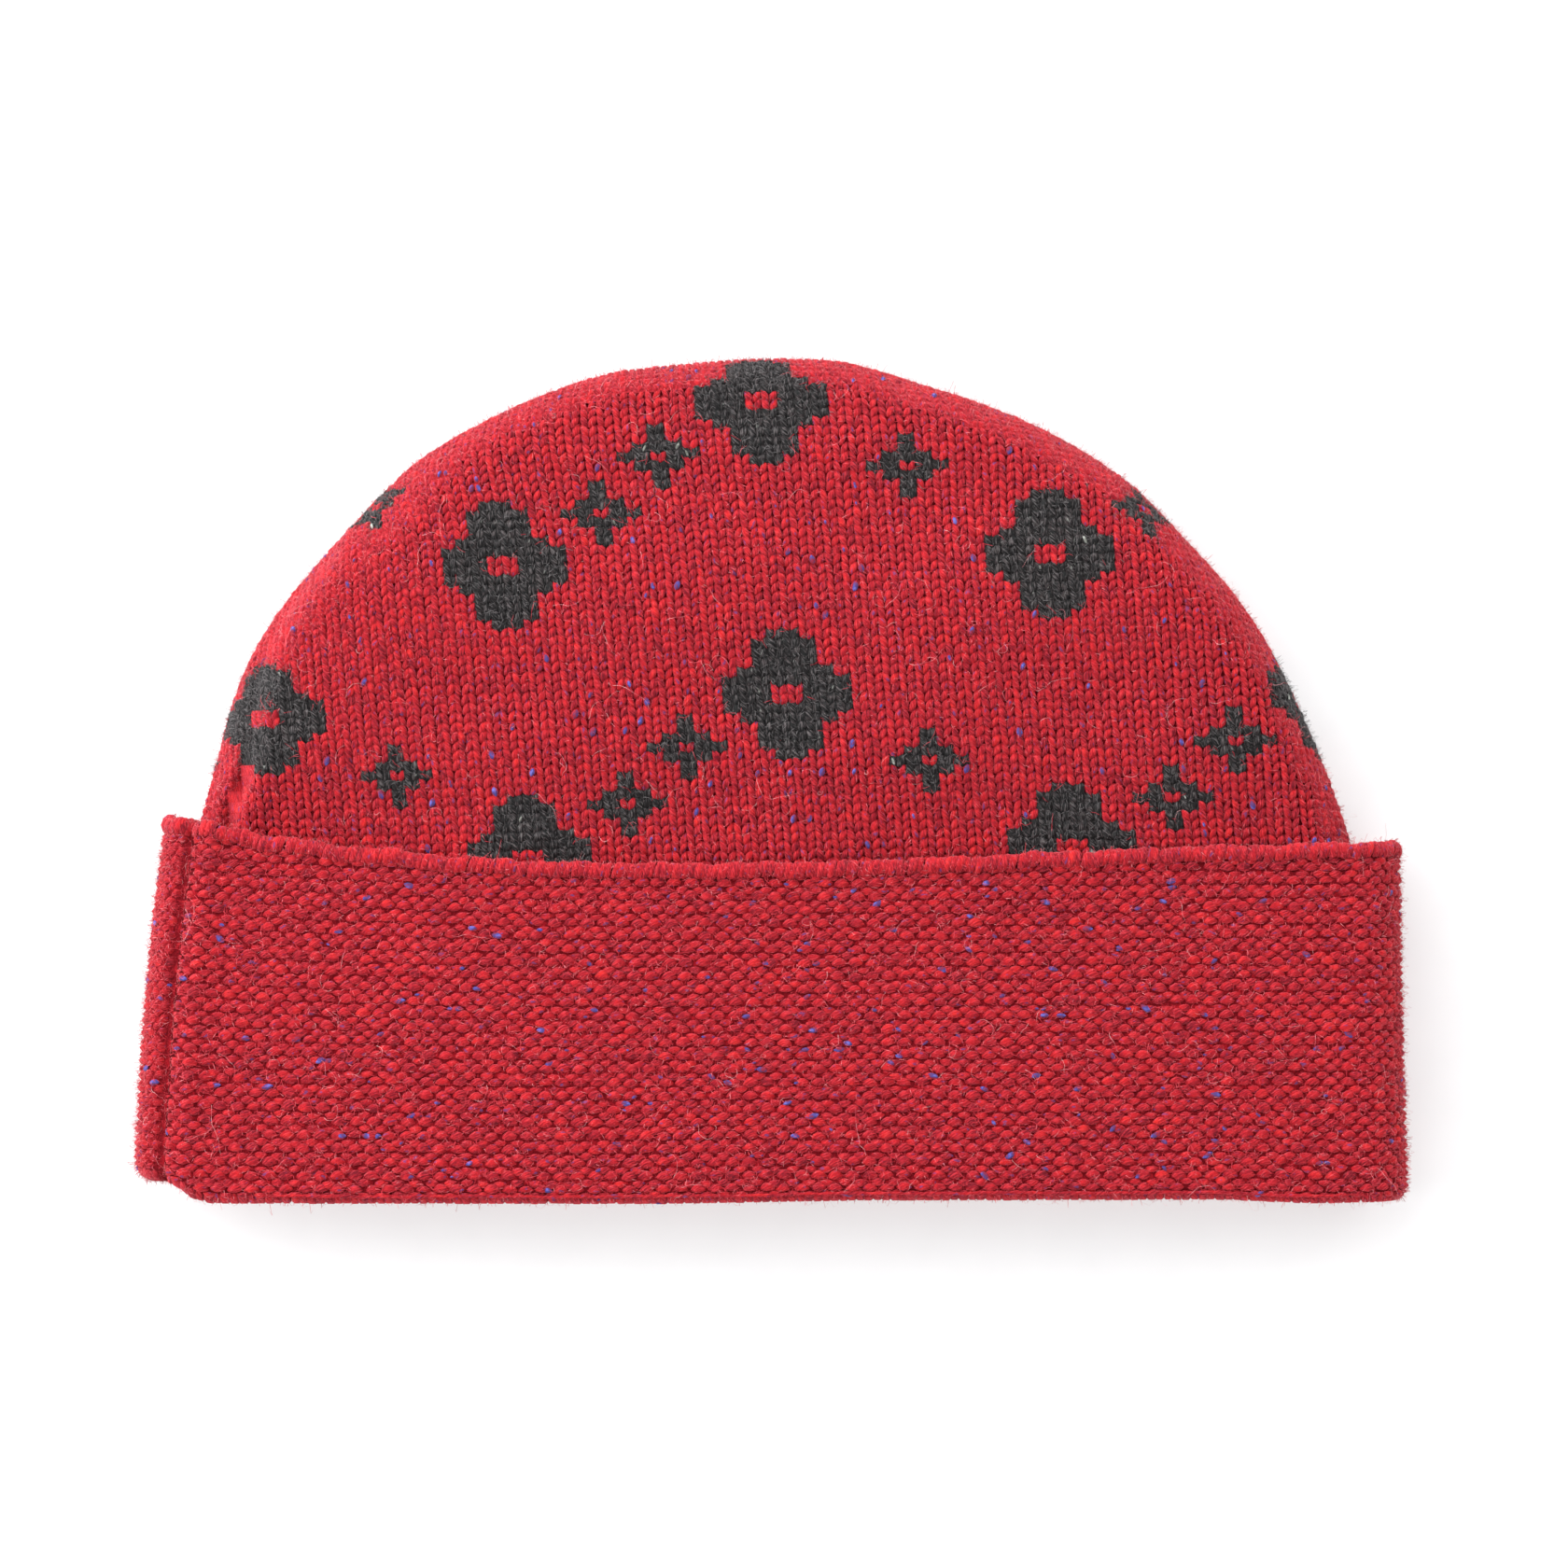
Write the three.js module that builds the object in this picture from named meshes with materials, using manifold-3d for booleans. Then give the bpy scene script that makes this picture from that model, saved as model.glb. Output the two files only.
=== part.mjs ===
// Knit cap lying on its back with its cuff turned up, in millimetres.
// +X runs across the cuff, +Y from the cuff to the crown's top, +Z up from the surface that it lies on.
import * as THREE from "three";
import { mergeVertices } from "three/addons/utils/BufferGeometryUtils.js";
import Module from "manifold-3d";

const wasm = await Module();
wasm.setup();

// Driving sizes.
const CROWN_WALL = 2.6;
const LEG_WALL = 2.8;
const LEG_GAP = 0.4;
const FOLD_THICK = 2 * LEG_WALL + LEG_GAP;
const PIECE_GAP = 0.3;
const CUFF_RISE = 22.3;
const CUFF_BULGE = 1.5;
const CUFF_END_ROUND = 8;
const CUFF_HALF_WIDTH = 115.2;
const CROWN_EDGE_ROUND = 6;
const CROWN_LEFT_ROUND = 8;
const CROWN_JOIN_Y = -36;
const BOUND_HEIGHT = 3;
const BOUND_HALF_THICK = 1.65;
const BOUND_OVERHANG = 0.5;
const SEAM_ANGLE = 105;
const SEAM_VALLEY_DEPTH = 1.3;
const SEAM_WIDTH = 1;
const SEAM_THICK = 0.9;
const CREASE_RISE = 0.9;
const CREASE_WIDTH = 4.5;

// Crown outline seen from above, from the join at the right over the top to the join at the left.
const CROWN_OUTLINE = [
  { x: 110.6, y: -120 },
  { x: 110.3, y: -36 },
  { x: 103.7, y: -8 },
  { x: 99.9, y: 2.6 },
  { x: 95.6, y: 12.7 },
  { x: 90.7, y: 22.8 },
  { x: 84.2, y: 32.9 },
  { x: 75.2, y: 43.1 },
  { x: 65.4, y: 53.1 },
  { x: 58.5, y: 58.1 },
  { x: 49.5, y: 63.2 },
  { x: 37.7, y: 68.2 },
  { x: 27.5, y: 71.5 },
  { x: 20, y: 73.9 },
  { x: 12.4, y: 75.8 },
  { x: 4, y: 76.3 },
  { x: -6, y: 76.1 },
  { x: -17.9, y: 75.1 },
  { x: -30.6, y: 73.3 },
  { x: -44.9, y: 68.2 },
  { x: -55, y: 63.2 },
  { x: -63.3, y: 58.1 },
  { x: -69, y: 53.1 },
  { x: -78.5, y: 43 },
  { x: -87.3, y: 32.8 },
  { x: -93.8, y: 22.8 },
  { x: -97.9, y: 12.7 },
  { x: -100.5, y: 2.6 },
  { x: -103.4, y: -8 },
  { x: -109.1, y: -36 },
  { x: -110.6, y: -120 },
];

// Height of the crown's upper and lower layer along the cap.
const CROWN_LEVELS = [
  { y: -120, upper: 20.5, lower: 3.3 },
  { y: -36, upper: 20.5, lower: 3.3 },
  { y: -8, upper: 20.6, lower: 3.3 },
  { y: 9, upper: 22.6, lower: 0 },
  { y: 32, upper: 24, lower: 0 },
  { y: 56, upper: 22.6, lower: 0 },
  { y: 78, upper: 19, lower: 0 },
];

// Cuff silhouette seen from above.
const CUFF_SIDES = [
  { y: -77, left: -115.2, right: 115.2 },
  { y: -66, left: -115.2, right: 115 },
  { y: -44, left: -113.8, right: 114.3 },
  { y: -26, left: -112.1, right: 114 },
  { y: -15, left: -110.7, right: 113.8 },
  { y: -7, left: -109.7, right: 113.6 },
];

// Top edge of the turned-up cuff on the front layer.
const FRONT_EDGE = [
  { x: -115, y: -6.6 },
  { x: -106.5, y: -6.6 },
  { x: -104.2, y: -7.4 },
  { x: -101.6, y: -7.2 },
  { x: -95.8, y: -8.4 },
  { x: -87.4, y: -10.2 },
  { x: -70.8, y: -12.1 },
  { x: -54.2, y: -13.7 },
  { x: -37.6, y: -14.6 },
  { x: -12.7, y: -14.8 },
  { x: 12.3, y: -14.5 },
  { x: 28.8, y: -13.8 },
  { x: 53.8, y: -12.7 },
  { x: 78.7, y: -11.7 },
  { x: 115, y: -10.9 },
];

// Top edge of the turned-up cuff on the back layer.
const BACK_EDGE = [
  { x: -115, y: -6.4 },
  { x: -100, y: -7.8 },
  { x: 0, y: -11 },
  { x: 115, y: -11.8 },
];

// Where the cuff's fold ends under each layer.
const FOLD = [
  { x: -115.2, back: -72.2, front: -72 },
  { x: -110, back: -73.2, front: -72.4 },
  { x: -106.2, back: -74.2, front: -72.8 },
  { x: -103.6, back: -76.3, front: -75.2 },
  { x: -100.5, back: -76.8, front: -76.1 },
  { x: -20, back: -76.8, front: -76.1 },
  { x: 15, back: -76.8, front: -75.5 },
  { x: 80, back: -76.8, front: -75.4 },
  { x: 97, back: -76.8, front: -76.1 },
  { x: 115.2, back: -76.8, front: -75.8 },
];

// Soft crease along the crown's left side.
const CREASE = [
  { x: -92.4, y: -3.2 },
  { x: -90.5, y: 1 },
  { x: -89, y: 12 },
  { x: -87.4, y: 22 },
  { x: -83.2, y: 32 },
  { x: -76, y: 42 },
];

// Mesh steps.
const OUTLINE_STEPS = 70;
const EDGE_STEPS = [0, 0.04, 0.14, 0.32, 0.6, 1];
const INNER_STEPS = [0.72, 0.45, 0.2];
const FACE_STEPS = 14;

function between(table, key, at, column) {
  const rising = table[0][key] < table[table.length - 1][key] ? table : [...table].reverse();
  const next = rising.findIndex((row) => row[key] >= at);
  if (next === 0) {
    return rising[0][column];
  }
  if (next < 0) {
    return rising[rising.length - 1][column];
  }
  const low = rising[next - 1];
  const high = rising[next];
  const t = (at - low[key]) / (high[key] - low[key]);
  return THREE.MathUtils.lerp(low[column], high[column], t * t * (3 - 2 * t));
}

function straight(table, key, at, column) {
  const next = Math.max(1, table.findIndex((row) => row[key] >= at));
  const low = table[next - 1];
  const high = table[next];
  const t = THREE.MathUtils.clamp((at - low[key]) / (high[key] - low[key]), 0, 1);
  return THREE.MathUtils.lerp(low[column], high[column], t);
}

function toSolid(geometry) {
  const bare = geometry.clone();
  bare.deleteAttribute("normal");
  bare.deleteAttribute("uv");
  const merged = mergeVertices(bare, 1e-5);
  return new wasm.Manifold(
    new wasm.Mesh({
      numProp: 3,
      vertProperties: new Float32Array(merged.attributes.position.array),
      triVerts: new Uint32Array(merged.index.array),
    })
  );
}

function toGeometry(solid) {
  const mesh = solid.getMesh();
  const geometry = new THREE.BufferGeometry();
  geometry.setAttribute("position", new THREE.BufferAttribute(new Float32Array(mesh.vertProperties), 3));
  geometry.setIndex(new THREE.BufferAttribute(new Uint32Array(mesh.triVerts), 1));
  geometry.computeVertexNormals();
  return geometry;
}

// Closed ring of sections: sections[i] is a closed loop of points, and the last meets the first.
function ringGeometry(sections) {
  const count = sections[0].length;
  const positions = sections.flat().flatMap((p) => [p.x, p.y, p.z]);
  const index = [];
  for (let i = 0; i < sections.length; i += 1) {
    const next = (i + 1) % sections.length;
    for (let j = 0; j < count; j += 1) {
      const k = (j + 1) % count;
      index.push(i * count + j, next * count + j, next * count + k);
      index.push(i * count + j, next * count + k, i * count + k);
    }
  }
  const geometry = new THREE.BufferGeometry();
  geometry.setAttribute("position", new THREE.Float32BufferAttribute(positions, 3));
  geometry.setIndex(index);
  return geometry;
}

// How high the soft crease stands at a place on the crown's upper layer.
function creaseRise(x, y) {
  let nearest = Infinity;
  for (let i = 1; i < CREASE.length; i += 1) {
    const from = new THREE.Vector2(CREASE[i - 1].x, CREASE[i - 1].y);
    const along = new THREE.Vector2(CREASE[i].x, CREASE[i].y).sub(from);
    const offset = new THREE.Vector2(x, y).sub(from);
    const t = THREE.MathUtils.clamp(offset.dot(along) / along.lengthSq(), 0, 1);
    nearest = Math.min(nearest, offset.sub(along.multiplyScalar(t)).length());
  }
  return CREASE_RISE * Math.exp(-((nearest / CREASE_WIDTH) ** 2));
}

// Closed skin of the crown, set in by a distance from its outer face.
function crownSkin(inset) {
  const points = CROWN_OUTLINE.map((p) => new THREE.Vector3(p.x, p.y, 0));
  const curve = new THREE.CatmullRomCurve3(points, false, "centripetal");
  const centre = new THREE.Vector2(0, -20);
  const rings = 2 * (EDGE_STEPS.length + INNER_STEPS.length) - 1;
  const positions = [];
  const place = (x, y, side, share) => {
    const sag = CUFF_BULGE * (x / CUFF_HALF_WIDTH) ** 2;
    const upper = between(CROWN_LEVELS, "y", y, "upper") - sag + creaseRise(x, y) - inset;
    const lower = between(CROWN_LEVELS, "y", y, "lower") + inset;
    const middle = (upper + lower) / 2;
    positions.push(x, y, side > 0 ? middle + (upper - middle) * share : middle + (lower - middle) * share);
  };
  for (let i = 0; i <= OUTLINE_STEPS; i += 1) {
    const at = curve.getPointAt(i / OUTLINE_STEPS);
    const tangent = curve.getTangentAt(i / OUTLINE_STEPS);
    const inward = new THREE.Vector2(-tangent.y, tangent.x);
    const edge = new THREE.Vector2(at.x, at.y).addScaledVector(inward, inset);
    const reach = centre.clone().sub(edge).dot(inward);
    const round = (at.x < -60 ? CROWN_LEFT_ROUND : CROWN_EDGE_ROUND) - inset;
    const steps = [
      ...EDGE_STEPS.map((share) => ({ in: (share * round) / reach, share: Math.sqrt(1 - (1 - share) ** 2) })),
      ...INNER_STEPS.map((out) => ({ in: 1 - out * (1 - round / reach), share: 1 })),
    ];
    for (let j = 0; j < rings; j += 1) {
      const side = j < steps.length ? 1 : -1;
      const step = side > 0 ? steps[steps.length - 1 - j] : steps[j - steps.length + 1];
      const p = edge.clone().lerp(centre, step.in);
      place(p.x, p.y, side, step.share);
    }
  }
  const top = (OUTLINE_STEPS + 1) * rings;
  place(centre.x, centre.y, 1, 1);
  place(centre.x, centre.y, -1, 1);
  const index = [];
  for (let i = 0; i <= OUTLINE_STEPS; i += 1) {
    const next = (i + 1) % (OUTLINE_STEPS + 1);
    for (let j = 0; j < rings - 1; j += 1) {
      index.push(i * rings + j, i * rings + j + 1, next * rings + j + 1);
      index.push(i * rings + j, next * rings + j + 1, next * rings + j);
    }
    index.push(top, i * rings, next * rings);
    index.push(top + 1, next * rings + rings - 1, i * rings + rings - 1);
  }
  const geometry = new THREE.BufferGeometry();
  geometry.setAttribute("position", new THREE.Float32BufferAttribute(positions, 3));
  geometry.setIndex(index);
  return toSolid(geometry);
}

function crownGeometry() {
  const shell = crownSkin(0).subtract(crownSkin(CROWN_WALL));
  return toGeometry(shell.trimByPlane([0, 1, 0], CROWN_JOIN_Y));
}

// Places round the cuff: over the front from right to left, round the left end, back under, round the right end.
function cuffStations() {
  const seamSteps = [-9, -6, -3, 0, 3, 6, 9].map((step) => SEAM_ANGLE + step);
  const leftEnd = [...seamSteps, 129, 145, 162, 180, 198, 216, 234, 252];
  const rightEnd = [-72, -54, -36, -18, 0, 18, 36, 54, 72];
  const front = Array.from({ length: FACE_STEPS + 1 }, (_, i) => ({ across: 1 - i / FACE_STEPS, angle: 90 }));
  const back = Array.from({ length: FACE_STEPS + 1 }, (_, i) => ({ across: i / FACE_STEPS, angle: 270 }));
  return [
    ...front,
    ...leftEnd.map((angle) => ({ across: 0, angle })),
    ...back,
    ...rightEnd.map((angle) => ({ across: 1, angle })),
  ];
}

// Point on the cuff at a station, at a depth in from its outermost face and a place along the cap.
function cuffPoint(station, depth, y) {
  const angle = THREE.MathUtils.degToRad(station.angle);
  const left = straight(CUFF_SIDES, "y", y, "left") + CUFF_END_ROUND;
  const right = straight(CUFF_SIDES, "y", y, "right") - CUFF_END_ROUND;
  const foot = THREE.MathUtils.lerp(left, right, station.across);
  const rise = CUFF_RISE + CUFF_BULGE * (1 - (foot / CUFF_HALF_WIDTH) ** 2);
  return new THREE.Vector3(
    foot + (CUFF_END_ROUND - depth) * Math.cos(angle),
    y,
    rise / 2 + (rise / 2 - depth) * Math.sin(angle)
  );
}

function frontShare(station) {
  const up = (1 + Math.sin(THREE.MathUtils.degToRad(station.angle))) / 2;
  return up * up * (3 - 2 * up);
}

// Where the bound edge ends at the top of the cuff.
function edgeTop(station) {
  const x = cuffPoint(station, 0, BACK_EDGE[0].y).x;
  const back = between(BACK_EDGE, "x", x, "y");
  return THREE.MathUtils.lerp(back, between(FRONT_EDGE, "x", x, "y"), frontShare(station));
}

function legTop(station) {
  return edgeTop(station) - BOUND_HEIGHT - PIECE_GAP;
}

function foldY(station) {
  const x = cuffPoint(station, 0, FOLD[0].back).x;
  return THREE.MathUtils.lerp(straight(FOLD, "x", x, "back"), straight(FOLD, "x", x, "front"), frontShare(station));
}

// Depth of the valley that the side seam draws into the cuff's outer face.
function seamValley(station) {
  const off = Math.abs(station.angle - SEAM_ANGLE);
  return station.across === 0 && off < 9 ? SEAM_VALLEY_DEPTH : 0;
}

function cuffGeometry() {
  const bendRadius = FOLD_THICK / 2;
  const slotRadius = LEG_GAP / 2;
  const legTopY = CROWN_JOIN_Y - PIECE_GAP;
  const levels = (from, to, count) => Array.from({ length: count + 1 }, (_, i) => from + ((to - from) * i) / count);
  const sections = cuffStations().map((station) => {
    const bend = foldY(station) + bendRadius;
    const top = legTop(station);
    const valley = seamValley(station);
    const outline = [];
    for (const y of levels(top, bend, 4)) {
      outline.push([valley, y]);
    }
    for (const turn of [30, 60, 90, 120, 150]) {
      const angle = THREE.MathUtils.degToRad(turn);
      const depth = bendRadius - bendRadius * Math.cos(angle);
      outline.push([Math.max(valley, depth), bend - bendRadius * Math.sin(angle)]);
    }
    for (const y of levels(bend, legTopY, 2)) {
      outline.push([FOLD_THICK, y]);
    }
    for (const y of levels(legTopY, bend, 2)) {
      outline.push([LEG_WALL + LEG_GAP, y]);
    }
    outline.push([bendRadius, bend - slotRadius]);
    for (const y of levels(bend, top, 4)) {
      outline.push([LEG_WALL, y]);
    }
    return outline.map(([depth, y]) => cuffPoint(station, depth, y));
  });
  return toGeometry(toSolid(ringGeometry(sections)));
}

function boundEdgeGeometry() {
  const sides = 10;
  const middle = BOUND_HALF_THICK - BOUND_OVERHANG;
  const sections = cuffStations().map((station) => {
    const y = edgeTop(station) - BOUND_HEIGHT / 2;
    return Array.from({ length: sides }, (_, i) => {
      const turn = (2 * Math.PI * i) / sides;
      const p = cuffPoint(station, middle - BOUND_HALF_THICK * Math.cos(turn), y - (BOUND_HEIGHT / 2) * Math.sin(turn));
      p.z = Math.max(0, p.z);
      return p;
    });
  });
  return toGeometry(toSolid(ringGeometry(sections)));
}

// Seam yarn that fills the valley, from just over the fold to the bound edge.
function seamGeometry() {
  const station = { across: 0, angle: SEAM_ANGLE };
  const low = foldY(station) + FOLD_THICK / 2;
  const high = legTop(station);
  const steps = 6;
  const section = [
    [-SEAM_WIDTH / 2, 0],
    [-SEAM_WIDTH / 3, -SEAM_THICK * 0.4],
    [SEAM_WIDTH / 3, -SEAM_THICK * 0.4],
    [SEAM_WIDTH / 2, 0],
    [SEAM_WIDTH / 3, SEAM_THICK * 0.6],
    [-SEAM_WIDTH / 3, SEAM_THICK * 0.6],
  ];
  const floor = SEAM_VALLEY_DEPTH - PIECE_GAP - SEAM_THICK * 0.6;
  const positions = [];
  for (let i = 0; i <= steps; i += 1) {
    const y = THREE.MathUtils.lerp(low, high, i / steps);
    const base = cuffPoint(station, floor, y);
    const out = cuffPoint(station, floor - 1, y).sub(base).normalize();
    const across = new THREE.Vector3(out.z, 0, -out.x);
    for (const [side, depth] of section) {
      const p = base.clone().addScaledVector(across, side).addScaledVector(out, -depth);
      positions.push(p.x, p.y, p.z);
    }
  }
  const count = section.length;
  const index = [];
  for (let i = 0; i < steps; i += 1) {
    for (let j = 0; j < count; j += 1) {
      const k = (j + 1) % count;
      index.push(i * count + j, i * count + k, (i + 1) * count + k);
      index.push(i * count + j, (i + 1) * count + k, (i + 1) * count + j);
    }
  }
  for (let j = 1; j < count - 1; j += 1) {
    index.push(0, j + 1, j);
    index.push(steps * count, steps * count + j, steps * count + j + 1);
  }
  const geometry = new THREE.BufferGeometry();
  geometry.setAttribute("position", new THREE.Float32BufferAttribute(positions, 3));
  geometry.setIndex(index);
  return toGeometry(toSolid(geometry));
}

const redKnit = new THREE.MeshStandardMaterial({ color: "#b4202c", roughness: 0.95, metalness: 0 });
const cuffKnit = new THREE.MeshStandardMaterial({ color: "#b82430", roughness: 0.95, metalness: 0 });
const edgeKnit = new THREE.MeshStandardMaterial({ color: "#c0303a", roughness: 0.95, metalness: 0 });
const seamYarn = new THREE.MeshStandardMaterial({ color: "#8e1824", roughness: 0.95, metalness: 0 });

function piece(name, geometry, material) {
  const mesh = new THREE.Mesh(geometry, material);
  mesh.name = name;
  return mesh;
}

const cap = new THREE.Group();
cap.add(
  piece("crown", crownGeometry(), redKnit),
  piece("cuff", cuffGeometry(), cuffKnit),
  piece("cuff_bound_edge", boundEdgeGeometry(), edgeKnit),
  piece("cuff_seam", seamGeometry(), seamYarn)
);

export default cap;
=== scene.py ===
import math

import bmesh
import bpy
import numpy as np
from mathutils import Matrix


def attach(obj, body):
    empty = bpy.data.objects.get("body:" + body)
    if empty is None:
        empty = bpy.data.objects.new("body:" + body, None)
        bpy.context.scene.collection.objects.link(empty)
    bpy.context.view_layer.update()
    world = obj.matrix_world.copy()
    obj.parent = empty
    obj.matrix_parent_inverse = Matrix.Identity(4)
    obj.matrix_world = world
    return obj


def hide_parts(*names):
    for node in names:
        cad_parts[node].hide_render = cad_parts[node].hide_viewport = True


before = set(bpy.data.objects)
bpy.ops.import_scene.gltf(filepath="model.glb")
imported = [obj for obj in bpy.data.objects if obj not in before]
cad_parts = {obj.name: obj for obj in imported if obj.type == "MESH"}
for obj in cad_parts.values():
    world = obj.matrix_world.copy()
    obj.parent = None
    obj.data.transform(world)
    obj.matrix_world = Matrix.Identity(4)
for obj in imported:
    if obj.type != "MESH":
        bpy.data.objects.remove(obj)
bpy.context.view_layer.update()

# Sizes in millimetres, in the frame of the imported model.
MM = 0.001
STITCH_WIDE = 2.866
STITCH_HIGH = 1.643
WALE_LEAN = 0.134
ROW_TILT = 0.063
FLOWER_AT = (2.84, 15.22)
GATHER = 3.9
SPREAD = 1.5
CROWN_WALL = 2.6
CROWN_ROUND = 9
CROWN_LEFT_ROUND = 14
CROWN_JOIN_Y = -36
CREASE_RISE = 1.1
CREASE_DEPTH = 2.3
CREASE_WIDE = 1.3

PURL_WALES = 160
PURL_HIGH = 2.39
PURL_ROWS = 23
CUFF_RISE = 22.3
CUFF_BULGE = 1.5
CUFF_END_ROUND = 8
CUFF_HALF_WIDTH = 115.2
CUFF_FLAT = 214.4
FOLD_THICK = 6
LEVEL_BEND = -72.8
BOUND_HIGH = 3.1
BOUND_MIDDLE = 1.15
LEG_WALL = 2.8
LEG_GAP = 0.4
SEAM_ANGLE = -255
SEAM_VALLEY = 1.4

# Purl rows stop and start again this far past the start of the fold, with upright stitches between.
FOLD_FROM = 0.8
FOLD_TO = 6.6
FOLD_STITCH = 5.7
# Radius of the bound edge's roll, for the length of the yarn over it.
BOUND_ROUND = 1.55
# The linings' outer faces lie this deep under the face of the knitting.
CROWN_LINED = 0.98
CUFF_LINED = 0.8
# Width of the crease and depth of the seam's furrow in them.
CREASE_LINED = 4.5
SEAM_LINED = 2.4
# Smallest height of the knitting over the floor.
CLEAR = 0.02
# Yarn from one stitch to the next and from one row to the next, which sets where the tweed falls.
YARN_A_STITCH = 8
YARN_A_ROW = 31
# Each part's yarn starts at a place of its own, so that no two parts share their tweed.
CUFF_YARN, FOLD_YARN, STRAND_YARN, EDGE_YARN, SEAM_YARN = 4000, 6000, 8000, 9000, 20000
# Loose fibres: length, how far they stand off the yarn, half width.
SHORT_FUZZ = (1.2, 0.45, 0.038)
EDGE_FUZZ = (1.2, 0.45, 0.045)
LONG_HAIR = (4, 0.9, 0.025)
# Where the crown's wales and rows start and end, counted from the middle flower.
CROWN_WALES = (-48, 48)
CROWN_ROWS = (-52, 28)
# Purl rows from above the cuff's top edge to the end of its inner leg, and how far down fuzz lies.
PURL_FROM_TO = (-6, 33)
FUZZY_ROWS = 24.5
# Place along the cap of the first purl row, and the level that the rows of the front keep to in part.
FIRST_ROW = -18.8
EDGE_LEVEL = -15.6

# Crown outline seen from above, from the join at the right over the top to the join at the left.
CROWN_OUTLINE = [
    (110.6, -120), (110.3, -36), (103.7, -8), (99.9, 2.6), (95.6, 12.7), (90.7, 22.8), (84.2, 32.9),
    (75.2, 43.1), (65.4, 53.1), (58.5, 58.1), (49.5, 63.2), (37.7, 68.2), (27.5, 71.5), (20, 73.9),
    (12.4, 75.8), (4, 76.3), (-6, 76.1), (-17.9, 75.1), (-30.6, 73.3), (-44.9, 68.2), (-55, 63.2),
    (-63.3, 58.1), (-69, 53.1), (-78.5, 43), (-87.3, 32.8), (-93.8, 22.8), (-97.9, 12.7), (-100.5, 2.6),
    (-103.4, -8), (-109.1, -36), (-110.6, -120),
]
# Along the cap, upper layer, lower layer.
CROWN_LEVELS = [
    (-120, 20.5, 3.3), (-36, 20.5, 3.3), (-8, 20.6, 3.3), (9, 22.6, 0), (32, 24, 0), (56, 22.6, 0),
    (78, 19, 0),
]
# Along the cap, left side, right side.
CUFF_SIDES = [
    (-77, -115.2, 115.2), (-66, -115.2, 115), (-44, -113.8, 114.3), (-26, -112.1, 114),
    (-15, -110.7, 113.8), (-7, -109.7, 113.6),
]
# Across the cap, top edge of the front of the cuff.
FRONT_EDGE = [
    (-115, -6.6), (-106.5, -6.6), (-104.2, -7.4), (-101.6, -7.2), (-95.8, -8.4), (-87.4, -10.2),
    (-70.8, -12.1), (-54.2, -13.7), (-37.6, -14.6), (-12.7, -14.8), (12.3, -14.5), (28.8, -13.8),
    (53.8, -12.7), (78.7, -11.7), (115, -10.9),
]
# Across the cap, top edge of the back of the cuff.
BACK_EDGE = [(-115, -6.4), (-100, -7.8), (0, -11), (115, -11.8)]
# Across the cap, end of the cuff's fold under the back and under the front.
FOLD = [
    (-115.2, -72.2, -72), (-110, -73.2, -72.4), (-106.2, -74.2, -72.8), (-103.6, -76.3, -75.2),
    (-100.5, -76.8, -76.1), (-20, -76.8, -76.1), (15, -76.8, -75.5), (80, -76.8, -75.4), (97, -76.8, -76.1),
    (115.2, -76.8, -75.8),
]
# Furrow along the crown's left side, from the cuff up.
CREASE = [(-98.4, -12), (-96.6, -5.1), (-94.1, 1), (-92.6, 12), (-91, 22), (-86.5, 31.5), (-79, 41)]

# Knitting charts, one letter a stitch: X is charcoal yarn.
FLOWER = [
    "...XX...",
    "..XXXX..",
    "..XXXX..",
    "..XXXX..",
    ".XXXXXX.",
    "XXXXXXXX",
    "XXX..XXX",
    "XXX..XXX",
    "XXXXXXXX",
    ".XXXXXX.",
    "..XXXX..",
    "..XXXX..",
    "..XXXX..",
    "...XX...",
]
SMALL_CROSS = [
    "..X..",
    "..X..",
    ".XXX.",
    "XX.XX",
    ".XXX.",
    "..X..",
    "..X..",
]
# Stitches and rows of one repeat of the chart, and each motif's middle, right and down from its start.
REPEAT_WIDE = 34
REPEAT_HIGH = 32
MOTIFS = [
    (FLOWER, 0, 0), (FLOWER, 17, 17),
    (SMALL_CROSS, -6.5, 5.5), (SMALL_CROSS, -10.5, 11.5), (SMALL_CROSS, 8.5, 7.5),
]


def show(name, data):
    """An object in the scene, for a mesh, a lamp or a camera."""
    made = bpy.data.objects.new(name, data)
    bpy.context.scene.collection.objects.link(made)
    return made


def linear(hex_colour):
    """Linear RGBA of an sRGB hex colour."""
    parts = [int(hex_colour[i:i + 2], 16) / 255 for i in (1, 3, 5)]
    return [p / 12.92 if p <= 0.04045 else ((p + 0.055) / 1.055) ** 2.4 for p in parts] + [1]


def add(tree, kind, inputs=None, stops=None, **settings):
    """A node with its settings, its links or values by socket, and its ramp's stops."""
    made = tree.nodes.new(kind)
    for name, value in settings.items():
        setattr(made, name, value)
    for socket, value in (inputs or {}).items():
        if isinstance(value, bpy.types.NodeSocket):
            tree.links.new(value, made.inputs[socket])
        else:
            made.inputs[socket].default_value = value
    if stops:
        elements = made.color_ramp.elements
        while len(elements) < len(stops):
            elements.new(0.5)
        for element, (place, colour) in zip(elements, stops):
            element.position = place
            element.color = linear(colour)
    return made


def bare_material(name):
    made = bpy.data.materials.new(name)
    made.use_nodes = True
    made.node_tree.nodes.clear()
    return made, made.node_tree


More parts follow.
